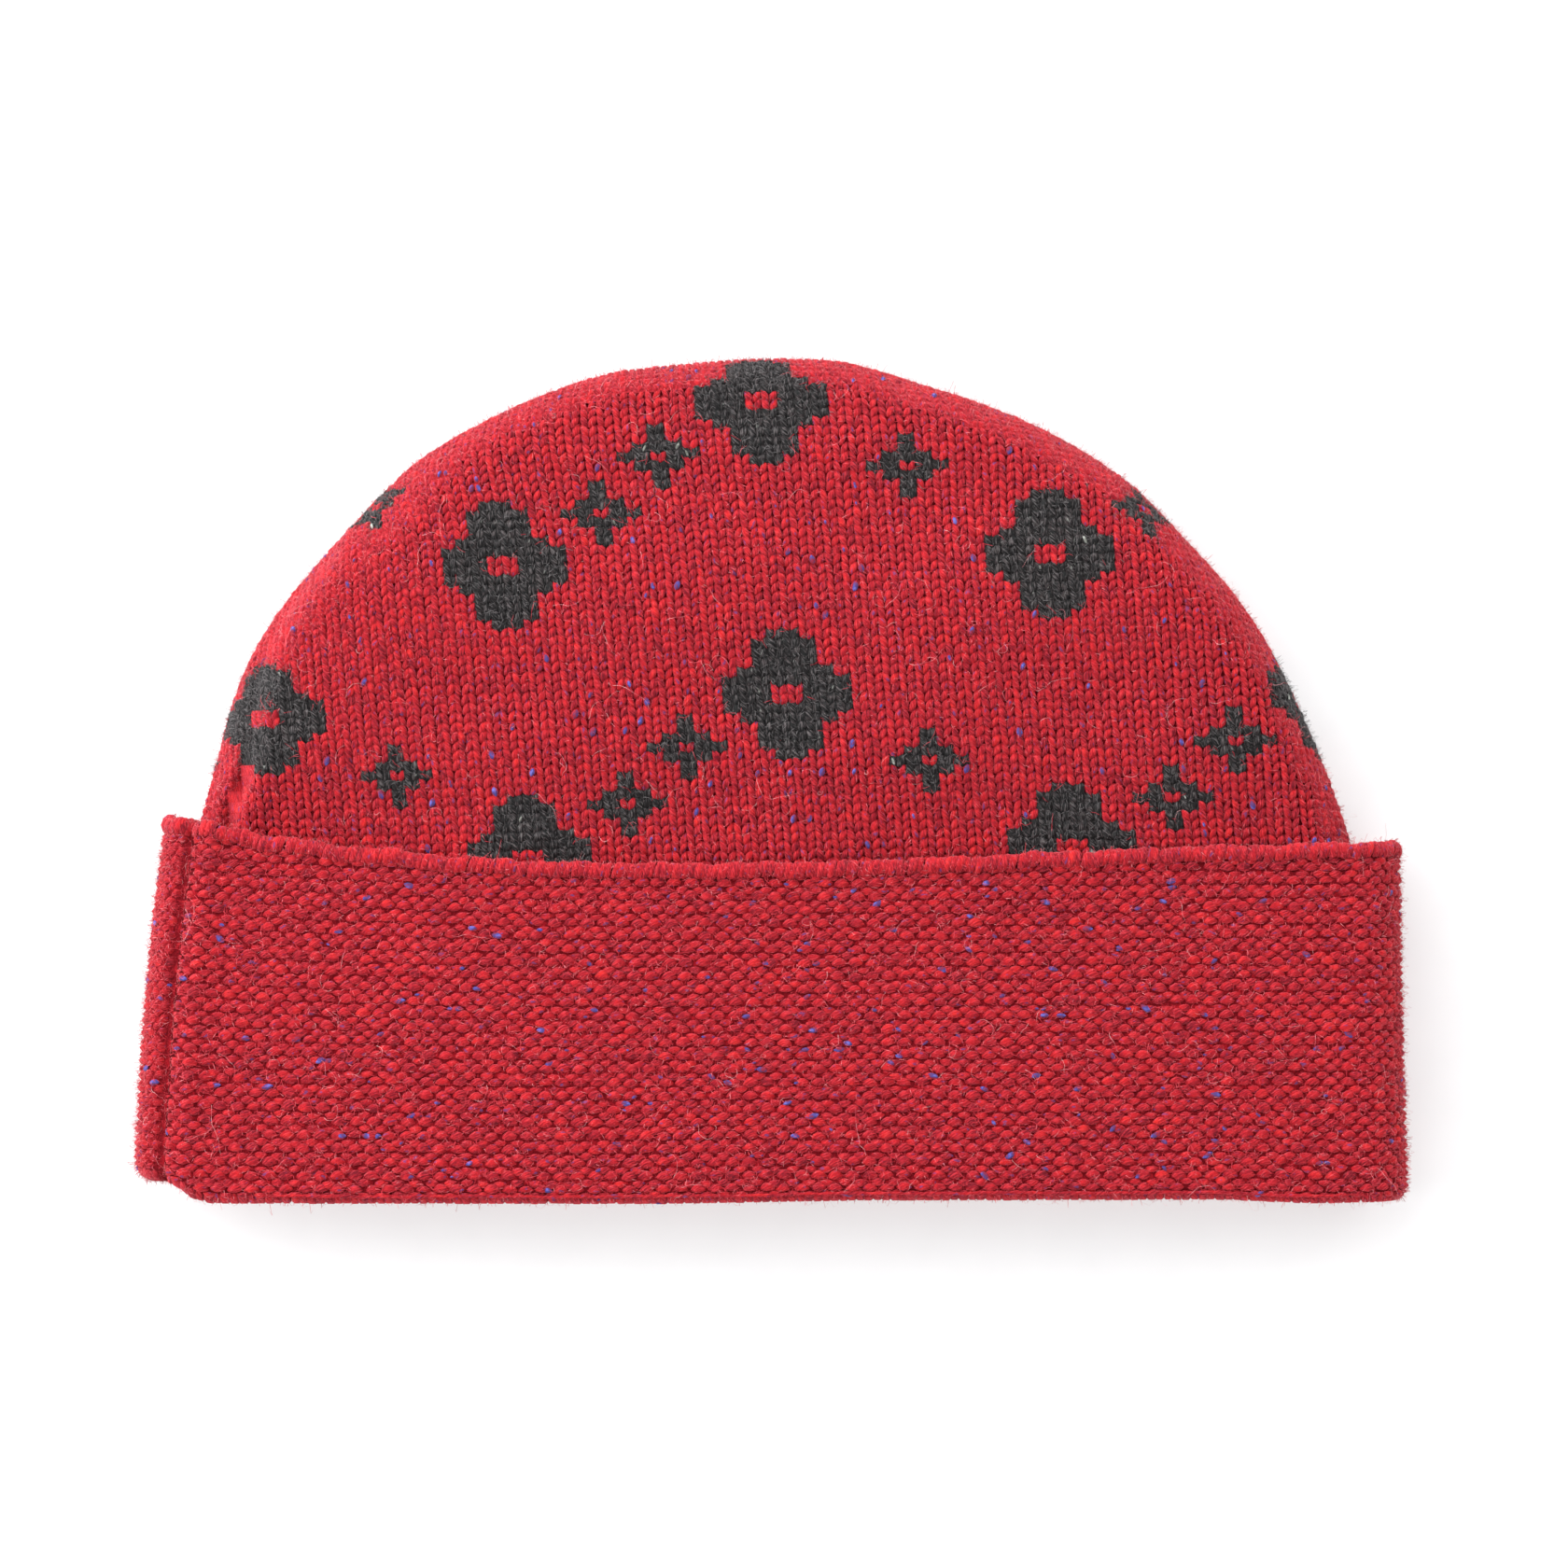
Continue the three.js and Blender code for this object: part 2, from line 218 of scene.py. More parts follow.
# Lambswool yarn spun as tweed: short lengths of wine, crimson and scarlet fibre under a pale fuzz.
def tweed_yarn(name, colours, fuzz, glow, fleck, patch_mm, sheen):
    fleck_colour, fleck_from, fleck_most = fleck
    made, tree = bare_material(name)
    run = add(tree, "ShaderNodeUVMap", uv_map="yarn").outputs[0]
    along = add(tree, "ShaderNodeMapping", {"Vector": run, "Scale": (patch_mm, 4, 1)}, vector_type="TEXTURE")
    patches = add(tree, "ShaderNodeTexNoise",
                  {"Vector": along.outputs[0], "Scale": 1, "Detail": 2.5, "Roughness": 0.6},
                  noise_dimensions="2D")
    # Bunches of fibre twisted round the yarn, 0.28 mm across and 1.8 mm long.
    twist = add(tree, "ShaderNodeMapping",
                {"Vector": run, "Rotation": (0, 0, math.radians(28)), "Scale": (1.8, 0.28, 1)},
                vector_type="TEXTURE")
    fibres = add(tree, "ShaderNodeTexNoise",
                 {"Vector": twist.outputs[0], "Scale": 1, "Detail": 2, "Roughness": 0.6},
                 noise_dimensions="2D")
    blend = add(tree, "ShaderNodeMix",
                {"Factor": 0.5, "A": patches.outputs["Fac"], "B": fibres.outputs["Fac"]})
    dyed = add(tree, "ShaderNodeValToRGB", {"Fac": blend.outputs["Result"]}, stops=colours)
    # The tips of the bunches are pale with fuzz.
    pale = add(tree, "ShaderNodeMapRange",
               {"Value": fibres.outputs["Fac"], "From Min": 0.5, "From Max": 0.72, "To Min": 0,
                "To Max": 0.62})
    fuzzy = add(tree, "ShaderNodeMix", {"Factor": pale.outputs[0], "A": dyed.outputs[0], "B": linear(fuzz)},
                data_type="RGBA")
    # Short flecks of another colour, half spun in, up to 1.8 mm long.
    spot = add(tree, "ShaderNodeMapping", {"Vector": run, "Scale": (1.8, 1.1, 1)}, vector_type="TEXTURE")
    flecks = add(tree, "ShaderNodeTexNoise", {"Vector": spot.outputs[0], "Scale": 1, "Detail": 1},
                 noise_dimensions="2D")
    flecked = add(tree, "ShaderNodeMapRange",
                  {"Value": flecks.outputs["Fac"], "From Min": fleck_from, "From Max": fleck_from + 0.06,
                   "To Min": 0, "To Max": fleck_most})
    colour = add(tree, "ShaderNodeMix", {"Factor": flecked.outputs[0], "A": fuzzy.outputs["Result"],
                                         "B": linear(fleck_colour)}, data_type="RGBA")
    bump = add(tree, "ShaderNodeBump", {"Height": fibres.outputs["Fac"], "Strength": 1, "Distance": 0.4 * MM})
    wool = add(tree, "ShaderNodeBsdfPrincipled", {
        "Base Color": colour.outputs["Result"], "Normal": bump.outputs[0], "Roughness": 0.9, "IOR": 1.54,
        "Specular IOR Level": 0.2, "Sheen Weight": sheen, "Sheen Roughness": 0.35,
        "Sheen Tint": linear(glow)})
    add(tree, "ShaderNodeOutputMaterial", {"Surface": wool.outputs[0]})
    return made


# Loose wool fibre: dull, with a soft colour that changes a little from hair to hair.
def loose_fibre(name, colours, sheen):
    made, tree = bare_material(name)
    run = add(tree, "ShaderNodeUVMap", uv_map="yarn").outputs[0]
    spread = add(tree, "ShaderNodeMapping", {"Vector": run, "Scale": (1.5, 1.1, 1)}, vector_type="TEXTURE")
    shade = add(tree, "ShaderNodeTexNoise", {"Vector": spread.outputs[0], "Scale": 1, "Detail": 2},
                noise_dimensions="2D")
    colour = add(tree, "ShaderNodeValToRGB", {"Fac": shade.outputs["Fac"]}, stops=colours)
    bump = add(tree, "ShaderNodeBump",
               {"Height": shade.outputs["Fac"], "Strength": 0.4, "Distance": 0.2 * MM})
    wool = add(tree, "ShaderNodeBsdfPrincipled", {
        "Base Color": colour.outputs[0], "Normal": bump.outputs[0], "Roughness": 0.85, "IOR": 1.54,
        "Specular IOR Level": 0.2, "Sheen Weight": sheen, "Sheen Roughness": 0.4})
    add(tree, "ShaderNodeOutputMaterial", {"Surface": wool.outputs[0]})
    return made


# Wool seen deep between the stitches and inside the cap, in rows of small bumps: the same red yarn, painted
# darker as shade, with painted shade at the edge of each bump.
def knit_inside_painted_shade(name):
    made, tree = bare_material(name)
    run = add(tree, "ShaderNodeUVMap", uv_map="yarn").outputs[0]
    cell = add(tree, "ShaderNodeMapping", {"Vector": run, "Scale": (2.9, 2, 1)}, vector_type="TEXTURE")
    loops = add(tree, "ShaderNodeTexVoronoi", {"Vector": cell.outputs[0], "Scale": 1, "Randomness": 0.25},
                voronoi_dimensions="2D")
    fibres = add(tree, "ShaderNodeTexNoise", {"Vector": run, "Scale": 2.5, "Detail": 2},
                 noise_dimensions="2D")
    rows = add(tree, "ShaderNodeMath", {0: loops.outputs["Distance"], 1: -1.4, 2: fibres.outputs["Fac"]},
               operation="MULTIPLY_ADD")
    # Painted shade: reds darker than the yarn's, darkest at the edge of each bump.
    colour = add(tree, "ShaderNodeValToRGB", {"Fac": rows.outputs[0]},
                 stops=[(0, "#6c0914"), (0.35, "#92121d"), (0.7, "#a81a25")])
    bump = add(tree, "ShaderNodeBump", {"Height": rows.outputs[0], "Strength": 0.8, "Distance": 0.6 * MM})
    wool = add(tree, "ShaderNodeBsdfPrincipled", {
        "Base Color": colour.outputs[0], "Normal": bump.outputs[0], "Roughness": 0.95, "IOR": 1.54,
        "Specular IOR Level": 0.1, "Sheen Weight": 0.1, "Sheen Roughness": 0.5,
        "Sheen Tint": linear("#c04450")})
    add(tree, "ShaderNodeOutputMaterial", {"Surface": wool.outputs[0]})
    return made


# White acrylic sheet with lamps under it: matt and pale, it keeps shadows light and brightens the rims.
def lit_sheet(name):
    made, tree = bare_material(name)
    grain = add(tree, "ShaderNodeTexNoise", {"Scale": 900, "Detail": 2})
    colour = add(tree, "ShaderNodeValToRGB", {"Fac": grain.outputs["Fac"]},
                 stops=[(0.3, "#bbbbbc"), (0.7, "#bebebf")])
    sheet = add(tree, "ShaderNodeBsdfPrincipled", {
        "Base Color": colour.outputs[0], "Roughness": 0.9, "IOR": 1.49, "Specular IOR Level": 0.1,
        "Emission Color": (1, 1, 1, 1), "Emission Strength": 0.44})
    add(tree, "ShaderNodeOutputMaterial", {"Surface": sheet.outputs[0]})
    return made


RED_TWEED = [(0.35, "#640517"), (0.42, "#870b1d"), (0.5, "#9f111d"), (0.57, "#ae131e"), (0.66, "#c8221e")]
CHARCOAL_TWEED = [
    (0.34, "#0a090a"), (0.43, "#161213"), (0.5, "#171b1b"), (0.57, "#2a2022"), (0.66, "#3b3a38"),
]
VIOLET = [(0.3, "#7d1b30"), (0.42, "#5e2a50"), (0.52, "#47356c"), (0.6, "#443d82"), (0.7, "#6059a0")]
WHITE = [(0.35, "#55574f"), (0.55, "#787a74"), (0.7, "#a3a49e")]
RED_HAIR = [(0.35, "#981622"), (0.5, "#b82a37"), (0.62, "#cc444f"), (0.72, "#dc8288")]
GREY_HAIR = [(0.35, "#232122"), (0.5, "#403d3e"), (0.65, "#767273")]
PALE_HAIR = [(0.35, "#c0505a"), (0.5, "#d4828a"), (0.66, "#e4b4b4")]
# A fleck has its colour, the noise level where it starts, and how much of it covers the yarn.
red_yarn = tweed_yarn("red_tweed_yarn", RED_TWEED, fuzz="#c03541", glow="#e8606c",
                      fleck=("#4b3a70", 0.71, 0.65), patch_mm=5.5, sheen=1)
charcoal_yarn = tweed_yarn("charcoal_tweed_yarn", CHARCOAL_TWEED, fuzz="#6c6667", glow="#a09898",
                           fleck=("#8d908a", 0.76, 0.5), patch_mm=2.4, sheen=0.16)
# Linings painted a darker red, as the shade deep inside the knitting.
inside_wool_painted_shade = knit_inside_painted_shade("knit_inside_painted_shade")
# Knots of violet wool, dull, with red fibre caught in them.
violet_nep = loose_fibre("violet_nep_wool", VIOLET, sheen=0.1)
# Knots of undyed wool, greyed by the charcoal round them.
white_nep = loose_fibre("white_nep_wool", WHITE, sheen=0.2)
# Short fuzz of both yarns, lighter than the yarn because light comes through it.
red_fuzz = loose_fibre("red_fuzz", RED_HAIR, sheen=0.4)
grey_fuzz = loose_fibre("grey_fuzz", GREY_HAIR, sheen=0.2)
# Longer hairs, thin enough to look pale pink over the red.
pale_hair = loose_fibre("pale_hair", PALE_HAIR, sheen=0.3)
white_sheet = lit_sheet("white_sheet")

knitting = np.random.default_rng(7)


def eased(table, at, column):
    """Value of a table's column, eased between its rows."""
    keys = np.array([row[0] for row in table], float)
    values = np.array([row[column] for row in table], float)
    low = np.clip(np.searchsorted(keys, at) - 1, 0, len(keys) - 2)
    share = np.clip((at - keys[low]) / (keys[low + 1] - keys[low]), 0, 1)
    return values[low] + (values[low + 1] - values[low]) * share * share * (3 - 2 * share)


def soft_step(t):
    """From 0 to 1 with no kink at either end."""
    t = np.clip(t, 0, 1)
    return t * t * (3 - 2 * t)


def rim_points(count):
    """Points at even steps along the smooth curve through the crown's outline, and its inward normals."""
    knots = np.array(CROWN_OUTLINE, float)
    knots = np.vstack([2 * knots[0] - knots[1], knots, 2 * knots[-1] - knots[-2]])
    curve = []
    for p0, p1, p2, p3 in zip(knots, knots[1:], knots[2:], knots[3:]):
        t1 = np.linalg.norm(p1 - p0) ** 0.5
        t2 = t1 + np.linalg.norm(p2 - p1) ** 0.5
        t3 = t2 + np.linalg.norm(p3 - p2) ** 0.5
        t = np.linspace(t1, t2, 60, endpoint=False)[:, None]
        a1 = p0 + (p1 - p0) * t / t1
        a2 = p1 + (p2 - p1) * (t - t1) / (t2 - t1)
        a3 = p2 + (p3 - p2) * (t - t2) / (t3 - t2)
        b1 = a1 + (a2 - a1) * t / t2
        b2 = a2 + (a3 - a2) * (t - t1) / (t3 - t1)
        curve.append(b1 + (b2 - b1) * (t - t1) / (t2 - t1))
    curve = np.vstack(curve + [knots[-2:-1]])
    walked = np.r_[0, np.cumsum(np.linalg.norm(np.diff(curve, axis=0), axis=1))]
    steps = np.linspace(0, walked[-1], count)
    points = np.stack([np.interp(steps, walked, curve[:, k]) for k in (0, 1)], 1)
    tangent = np.gradient(points, axis=0)
    tangent /= np.linalg.norm(tangent, axis=1, keepdims=True)
    return points, np.stack([-tangent[:, 1], tangent[:, 0]], 1)


# How far each place of the plan lies inside the crown's outline, and which way is inward, on a 1 mm grid.
RIM, RIM_INWARD = rim_points(900)
PLAN_LOW = np.array([-145.0, -70.0])
PLAN_SIZE = (291, 176)


def rim_field():
    grid_x, grid_y = np.meshgrid(PLAN_LOW[0] + np.arange(PLAN_SIZE[0]),
                                 PLAN_LOW[1] + np.arange(PLAN_SIZE[1]), indexing="ij")
    field = np.empty(PLAN_SIZE + (3,))
    for i in range(PLAN_SIZE[0]):
        off = np.stack([grid_x[i], grid_y[i]], 1)[:, None] - RIM[None]
        near = np.argmin((off ** 2).sum(2), 1)
        inward = RIM_INWARD[near]
        off = off[np.arange(len(near)), near]
        field[i, :, 0] = np.sign((off * inward).sum(1)) * np.linalg.norm(off, axis=1)
        field[i, :, 1:] = inward
    return field


RIM_FIELD = rim_field()


def near_rim(x, y):
    """Distance inside the crown's outline, and the inward direction there."""
    gx = np.clip(x - PLAN_LOW[0], 0, PLAN_SIZE[0] - 1.001)
    gy = np.clip(y - PLAN_LOW[1], 0, PLAN_SIZE[1] - 1.001)
    ix, iy = gx.astype(int), gy.astype(int)
    fx, fy = (gx - ix)[..., None], (gy - iy)[..., None]
    found = ((RIM_FIELD[ix, iy] * (1 - fx) + RIM_FIELD[ix + 1, iy] * fx) * (1 - fy)
             + (RIM_FIELD[ix, iy + 1] * (1 - fx) + RIM_FIELD[ix + 1, iy + 1] * fx) * fy)
    size = np.hypot(found[..., 1], found[..., 2])
    return found[..., 0], found[..., 1] / size, found[..., 2] / size


def crease_side(x, y):
    """Distance from the crease, negative on its left."""
    nearest, side = np.full(np.shape(x), 1e9), np.zeros(np.shape(x))
    for (x0, y0), (x1, y1) in zip(CREASE, CREASE[1:]):
        length = (x1 - x0) ** 2 + (y1 - y0) ** 2
        t = np.clip(((x - x0) * (x1 - x0) + (y - y0) * (y1 - y0)) / length, 0, 1)
        off = np.hypot(x - x0 - t * (x1 - x0), y - y0 - t * (y1 - y0))
        across = ((x - x0) * (y1 - y0) - (y - y0) * (x1 - x0)) / math.sqrt(length)
        side = np.where(off < nearest, np.sign(across) * off, side)
        nearest = np.minimum(nearest, off)
    return side


def soft_rise(x, y, inside, edge, furrow):
    """How high the crown's front stands over its plain form: its crease, and its shallow waves."""
    side = crease_side(x, y)
    crease = CREASE_RISE * np.exp(-(((side - 3.6) / 3) ** 2))
    crease = crease - CREASE_DEPTH * (0.3 + 0.7 * soft_step((9 - y) / 9)) * np.exp(-((side / furrow) ** 2))
    wave = 0.45 * np.sin(x / 17 + 0.6) * np.sin(y / 14 + 1.1) + 0.3 * np.sin(x / 9 - y / 11)
    return crease + soft_step((inside - edge + 4) / 14) * wave


def rim_round(x):
    """Width of the rounding at the crown's rim, larger at the left."""
    return CROWN_ROUND + (CROWN_LEFT_ROUND - CROWN_ROUND) * soft_step((-50 - x) / 25)


def crown_top(x, y):
    """Height of the crown's upper layer, away from its rim."""
    return eased(CROWN_LEVELS, y, 1) - CUFF_BULGE * (x / CUFF_HALF_WIDTH) ** 2


def crown_roll(x, y):
    """How flat knitting lies at the rim: foot on the outline, inward way, rounding, levels and turn."""
    inside, inward_x, inward_y = near_rim(x, y)
    foot_x, foot_y = x - inside * inward_x, y - inside * inward_y
    edge = rim_round(foot_x)
    reach = np.maximum(inside, edge)
    flat_x, flat_y = foot_x + reach * inward_x, foot_y + reach * inward_y
    upper = crown_top(flat_x, flat_y)
    lower = eased(CROWN_LEVELS, flat_y, 2)
    half = (upper - lower) / 2
    # The knitting keeps its own length round the quarter ellipse.
    quarter = math.pi / 4 * (3 * (edge + half) - np.sqrt((3 * edge + half) * (edge + 3 * half)))
    gone = np.maximum((edge - inside) / quarter, 0)
    first, last = quarter / edge * 2 / math.pi, quarter / half * 2 / math.pi
    w = np.minimum(gone, 1)
    w = (w ** 3 - 2 * w ** 2 + w) * first + (3 * w ** 2 - 2 * w ** 3) + (w ** 3 - w ** 2) * last
    turn = (1 - w - np.maximum(gone - 1, 0) * last) * math.pi / 2
    return inside, inward_x, inward_y, foot_x, foot_y, edge, (upper + lower) / 2, half, turn


def on_crown(layer):
    """Puts flat knitting on the crown's upper layer, 1, or lower layer, -1."""
    def place(x, y, depth):
        inside, inward_x, inward_y, foot_x, foot_y, edge, middle, half, turn = crown_roll(x, y)
        out = np.where(inside < edge, edge - (edge - depth) * np.cos(turn), inside)
        px, py = foot_x + out * inward_x, foot_y + out * inward_y
        pz = middle + layer * (half - depth) * np.sin(turn)
        if layer > 0:
            pz = pz + soft_rise(px, py, inside, edge, CREASE_WIDE)
        return np.stack([px, py, np.maximum(pz, CLEAR)], -1)
    return place


def ring_table():
    """Stations round the cuff: over the front to the right, back under, and round the left end."""
    turns = np.radians(np.linspace(90, -90, 91))
    end = np.stack([CUFF_END_ROUND * np.cos(turns), CUFF_RISE / 2 * np.sin(turns)], 1)
    walked = np.r_[0, np.cumsum(np.linalg.norm(np.diff(end, axis=0), axis=1))]
    front = np.linspace(0, CUFF_FLAT, 120)
    place = np.r_[front, CUFF_FLAT + walked[1:]]
    across = np.r_[front / CUFF_FLAT, np.ones(90)]
    angle = np.r_[np.full(120, 90.0), np.degrees(turns[1:])]
    half_round = CUFF_FLAT + walked[-1]
    return (np.r_[place, half_round + place[1:]], np.r_[across, 1 - across[1:]],
            np.r_[angle, angle[1:] - 180], 2 * half_round)


RING, RING_ACROSS, RING_ANGLE, RING_LENGTH = ring_table()
PURL_WIDE = RING_LENGTH / PURL_WALES
BEND = FOLD_THICK / 2


def cuff_point(across, angle, deep, y):
    """Point of the cuff at a station, at a depth in from its outer face and a place along the cap."""
    angle = np.radians(angle)
    keys = [row[0] for row in CUFF_SIDES]
    left = np.interp(y, keys, [row[1] for row in CUFF_SIDES]) + CUFF_END_ROUND
    right = np.interp(y, keys, [row[2] for row in CUFF_SIDES]) - CUFF_END_ROUND
    foot = left + (right - left) * across
    rise = CUFF_RISE + CUFF_BULGE * (1 - (foot / CUFF_HALF_WIDTH) ** 2)
    x = foot + (CUFF_END_ROUND - deep) * np.cos(angle)
    z = rise / 2 + (rise / 2 - deep) * np.sin(angle)
    return np.stack([x, y, np.maximum(z, CLEAR)], -1)


RING_X = cuff_point(RING_ACROSS, RING_ANGLE, 0, np.full(len(RING), BACK_EDGE[0][1]))[:, 0]
RING_LOW_X = cuff_point(RING_ACROSS, RING_ANGLE, 0, np.full(len(RING), FOLD[0][1]))[:, 0]
RING_FRONT = soft_step((1 + np.sin(np.radians(RING_ANGLE))) / 2)
RING_BACK_EDGE = eased(BACK_EDGE, RING_X, 1)
RING_EDGE = RING_BACK_EDGE + (eased(FRONT_EDGE, RING_X, 1) - RING_BACK_EDGE) * RING_FRONT
FOLD_X, FOLD_BACK, FOLD_FRONT = np.array(FOLD).T
RING_BEND = np.interp(RING_LOW_X, FOLD_X, FOLD_BACK) * (1 - RING_FRONT) + BEND
RING_BEND += np.interp(RING_LOW_X, FOLD_X, FOLD_FRONT) * RING_FRONT
# Rows of the cuff follow its top edge in part.
RING_ROWS = FIRST_ROW + np.where(RING_X < 0, 0.4, 0.2) * RING_FRONT * (RING_EDGE - EDGE_LEVEL)


def cuff_rows(ring, up):
    """Level of the first row, middle of the fold, the way between, and how far down it each row lies."""
    top = np.interp(ring, RING, RING_ROWS)
    bend = np.interp(ring, RING, RING_BEND)
    level = top - np.minimum(bend, LEVEL_BEND)
    drop = np.where(up > 0, -up, -up * level / (PURL_ROWS * PURL_HIGH))
    drop = np.where(-up > PURL_ROWS * PURL_HIGH, level - up - PURL_ROWS * PURL_HIGH, drop)
    return top, bend, top - bend, drop


SEAM_RING = np.interp(-SEAM_ANGLE, -RING_ANGLE, RING)


def seam_valley(ring):
    """Depth of the furrow along the side seam, and the ridge on its front side."""
    off = np.mod(ring - SEAM_RING + RING_LENGTH / 2, RING_LENGTH) - RING_LENGTH / 2
    slope = 1 - soft_step(np.where(off > 0, off / 9, -off / 4))
    return SEAM_VALLEY * np.exp(-((off / 0.9) ** 2)) + slope - 1.2 * np.exp(-(((off - 4) / 2.6) ** 2))


def on_cuff(ring, up, depth):
    """Puts flat knitting on the cuff: round it, and down from its top over the fold to the inside."""
    ring = np.mod(ring, RING_LENGTH)
    top, bend, span, drop = cuff_rows(ring, up)
    turn = np.clip((drop - span) / BEND, 0, math.pi)
    outer = drop < span
    inner = drop > span + BEND * math.pi
    y = np.where(outer, top - drop, bend - (BEND - depth) * np.sin(turn))
    y = np.where(inner, bend + drop - span - BEND * math.pi, y)
    deep = np.where(outer, depth, BEND - (BEND - depth) * np.cos(turn))
    deep = deep + seam_valley(ring) * np.where(inner, 0, 1)
    return cuff_point(np.interp(ring, RING, RING_ACROSS), np.interp(ring, RING, RING_ANGLE), deep, y)


def on_bound_edge(ring, up, depth):
    """Puts yarn over the bound edge: up runs from the groove under it, over the top, to the back."""
    ring = np.mod(ring, RING_LENGTH)
    turn = up / BOUND_ROUND
    angle = np.interp(ring, RING, RING_ANGLE)
    uneven = 0.16 * np.sin(ring / 1.1) + 0.14 * np.sin(ring / 2.7 + 1)
    y = np.interp(ring, RING, RING_EDGE) + uneven - BOUND_HIGH / 2 + (BOUND_HIGH / 2 - depth) * np.sin(turn)
    proud = 0.5 * np.abs(np.sin(np.radians(angle)))
    deep = BOUND_MIDDLE - (BOUND_MIDDLE + proud - depth) * np.cos(turn)
    deep = deep + seam_valley(ring)
    return cuff_point(np.interp(ring, RING, RING_ACROSS), angle, deep, y)


def lay_yarn(place, x, y, lift, wide, high, across, run, row, flip=False):
    """Rounded strips of yarn, one a row of the arrays, laid flat and then put on the cap.

    Returns the grids of points, their yarn coordinates in millimetres and whether their faces are flipped."""
    run_x, run_y = np.gradient(x, axis=1), np.gradient(y, axis=1)
    size = np.hypot(run_x, run_y) + 1e-9
    turns = np.radians(np.linspace(-105, 105, across + 1))
    side = wide[..., None] * np.sin(turns)
    px = x[..., None] - (run_y / size)[..., None] * side
    py = y[..., None] + (run_x / size)[..., None] * side
    depth = -(lift[..., None] + high[..., None] * np.cos(turns))
    walked = np.cumsum(size, axis=1) + run[:, None]
    u = np.broadcast_to(walked[..., None], px.shape)
    v = row[:, None, None] + wide[..., None] * turns
    return place(px, py, depth), np.stack([u, v], -1), flip


def strip_faces(count, along, across, flip):
    """The quads of a number of strips, each a grid of points."""
    corner = np.arange(along * across).reshape(along, across)
    quads = np.stack([corner[:-1, :-1], corner[1:, :-1], corner[1:, 1:], corner[:-1, 1:]], -1).reshape(-1, 4)
    if flip:
        quads = quads[:, ::-1]
    return (quads[None] + np.arange(count)[:, None, None] * (along * across)).reshape(-1, 4)


def dress_cap(name, mesh, material, nodes):
    """A piece of the cap's look, riding with the cap in place of its plain solid."""
    mesh.materials.append(material)
    piece = show(name, mesh)
    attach(piece, "root")
    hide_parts(*nodes)


def make_piece(name, points, faces, yarn, material, nodes):
    """A mesh piece from points in millimetres, quads and yarn coordinates."""
    mesh = bpy.data.meshes.new(name)
    mesh.vertices.add(len(points))
    mesh.vertices.foreach_set("co", (points * MM).astype(np.float32).ravel())
    mesh.loops.add(faces.size)
    mesh.loops.foreach_set("vertex_index", faces.astype(np.int32).ravel())
    mesh.polygons.add(len(faces))
    mesh.polygons.foreach_set("loop_start", np.arange(0, faces.size, faces.shape[1], dtype=np.int32))
    mesh.uv_layers.new(name="yarn").data.foreach_set("uv", yarn[faces.ravel()].astype(np.float32).ravel())
    mesh.update(calc_edges=True)
    mesh.polygons.foreach_set("use_smooth", np.ones(len(faces), bool))
    dress_cap(name, mesh, material, nodes)


def knit_piece(name, strips, material, nodes):
    """A mesh piece from the strips of yarn that belong to it."""
    points, yarn, faces, start = [], [], [], 0
    for grid, coordinates, flip in strips:
        count, along, across = grid.shape[:3]
        faces.append(strip_faces(count, along, across, flip) + start)
        points.append(grid.reshape(-1, 3))
        yarn.append(coordinates.reshape(-1, 2))
        start += count * along * across
    make_piece(name, np.vstack(points), np.vstack(faces), np.vstack(yarn), material, nodes)


def chart_is_charcoal(wale, row):
    """Whether the chart has a charcoal stitch at each wale, counted right, and row, counted down."""
    dark = np.zeros(wale.shape, bool)
    for chart, right, down in MOTIFS:
        cells = np.array([[letter == "X" for letter in line] for line in chart])
        high, wide = cells.shape
        column = np.mod(np.round(wale - right + (wide - 1) / 2), REPEAT_WIDE).astype(int)
        line = np.mod(np.round(row - down + (high - 1) / 2), REPEAT_HIGH).astype(int)
        inside = (column < wide) & (line < high)
        dark |= inside & cells[np.minimum(line, high - 1), np.minimum(column, wide - 1)]
    return dark


def crown_stitches(lowest, least_turn):
    """Wale, row, place and turn at the rim of every stitch of a layer, from the cuff to just past the rim."""
    wale, row = np.meshgrid(np.arange(*CROWN_WALES) + 0.5, np.arange(*CROWN_ROWS) + 0.5, indexing="ij")
    wale, row = wale.ravel(), row.ravel()
    x = FLOWER_AT[0] + STITCH_WIDE * wale + WALE_LEAN * row
    x += GATHER * soft_step((-wale - 16) / 16) + SPREAD * soft_step((wale - 22) / 14)
    y = FLOWER_AT[1] - STITCH_HIGH * row + ROW_TILT * wale
    # Stitches are drawn wider over the top, and rows close up on the slope at the left.
    x += (0.035 * STITCH_WIDE * wale - 0.4) * soft_step((y - 40) / 25)
    y -= 0.15 * np.clip(y - 2, 0, None) * soft_step((-wale - 22) / 10)
    y -= 0.8 * (soft_step((-wale - 3) / 4) + soft_step((wale - 10) / 5)) * soft_step((y - 20) / 12)
    y -= (soft_step((wale - 12) / 8) + 0.6 * soft_step((-wale - 10) / 8)) * soft_step((26 - y) / 18)
    y += 0.5 * np.clip(-crease_side(x, y), 0, 8) * soft_step((4 - y) / 6)
    turn = crown_roll(x, y)[-1]
    kept = (turn > math.radians(least_turn)) & (y > lowest)
    return wale[kept], row[kept], x[kept], y[kept], turn[kept]


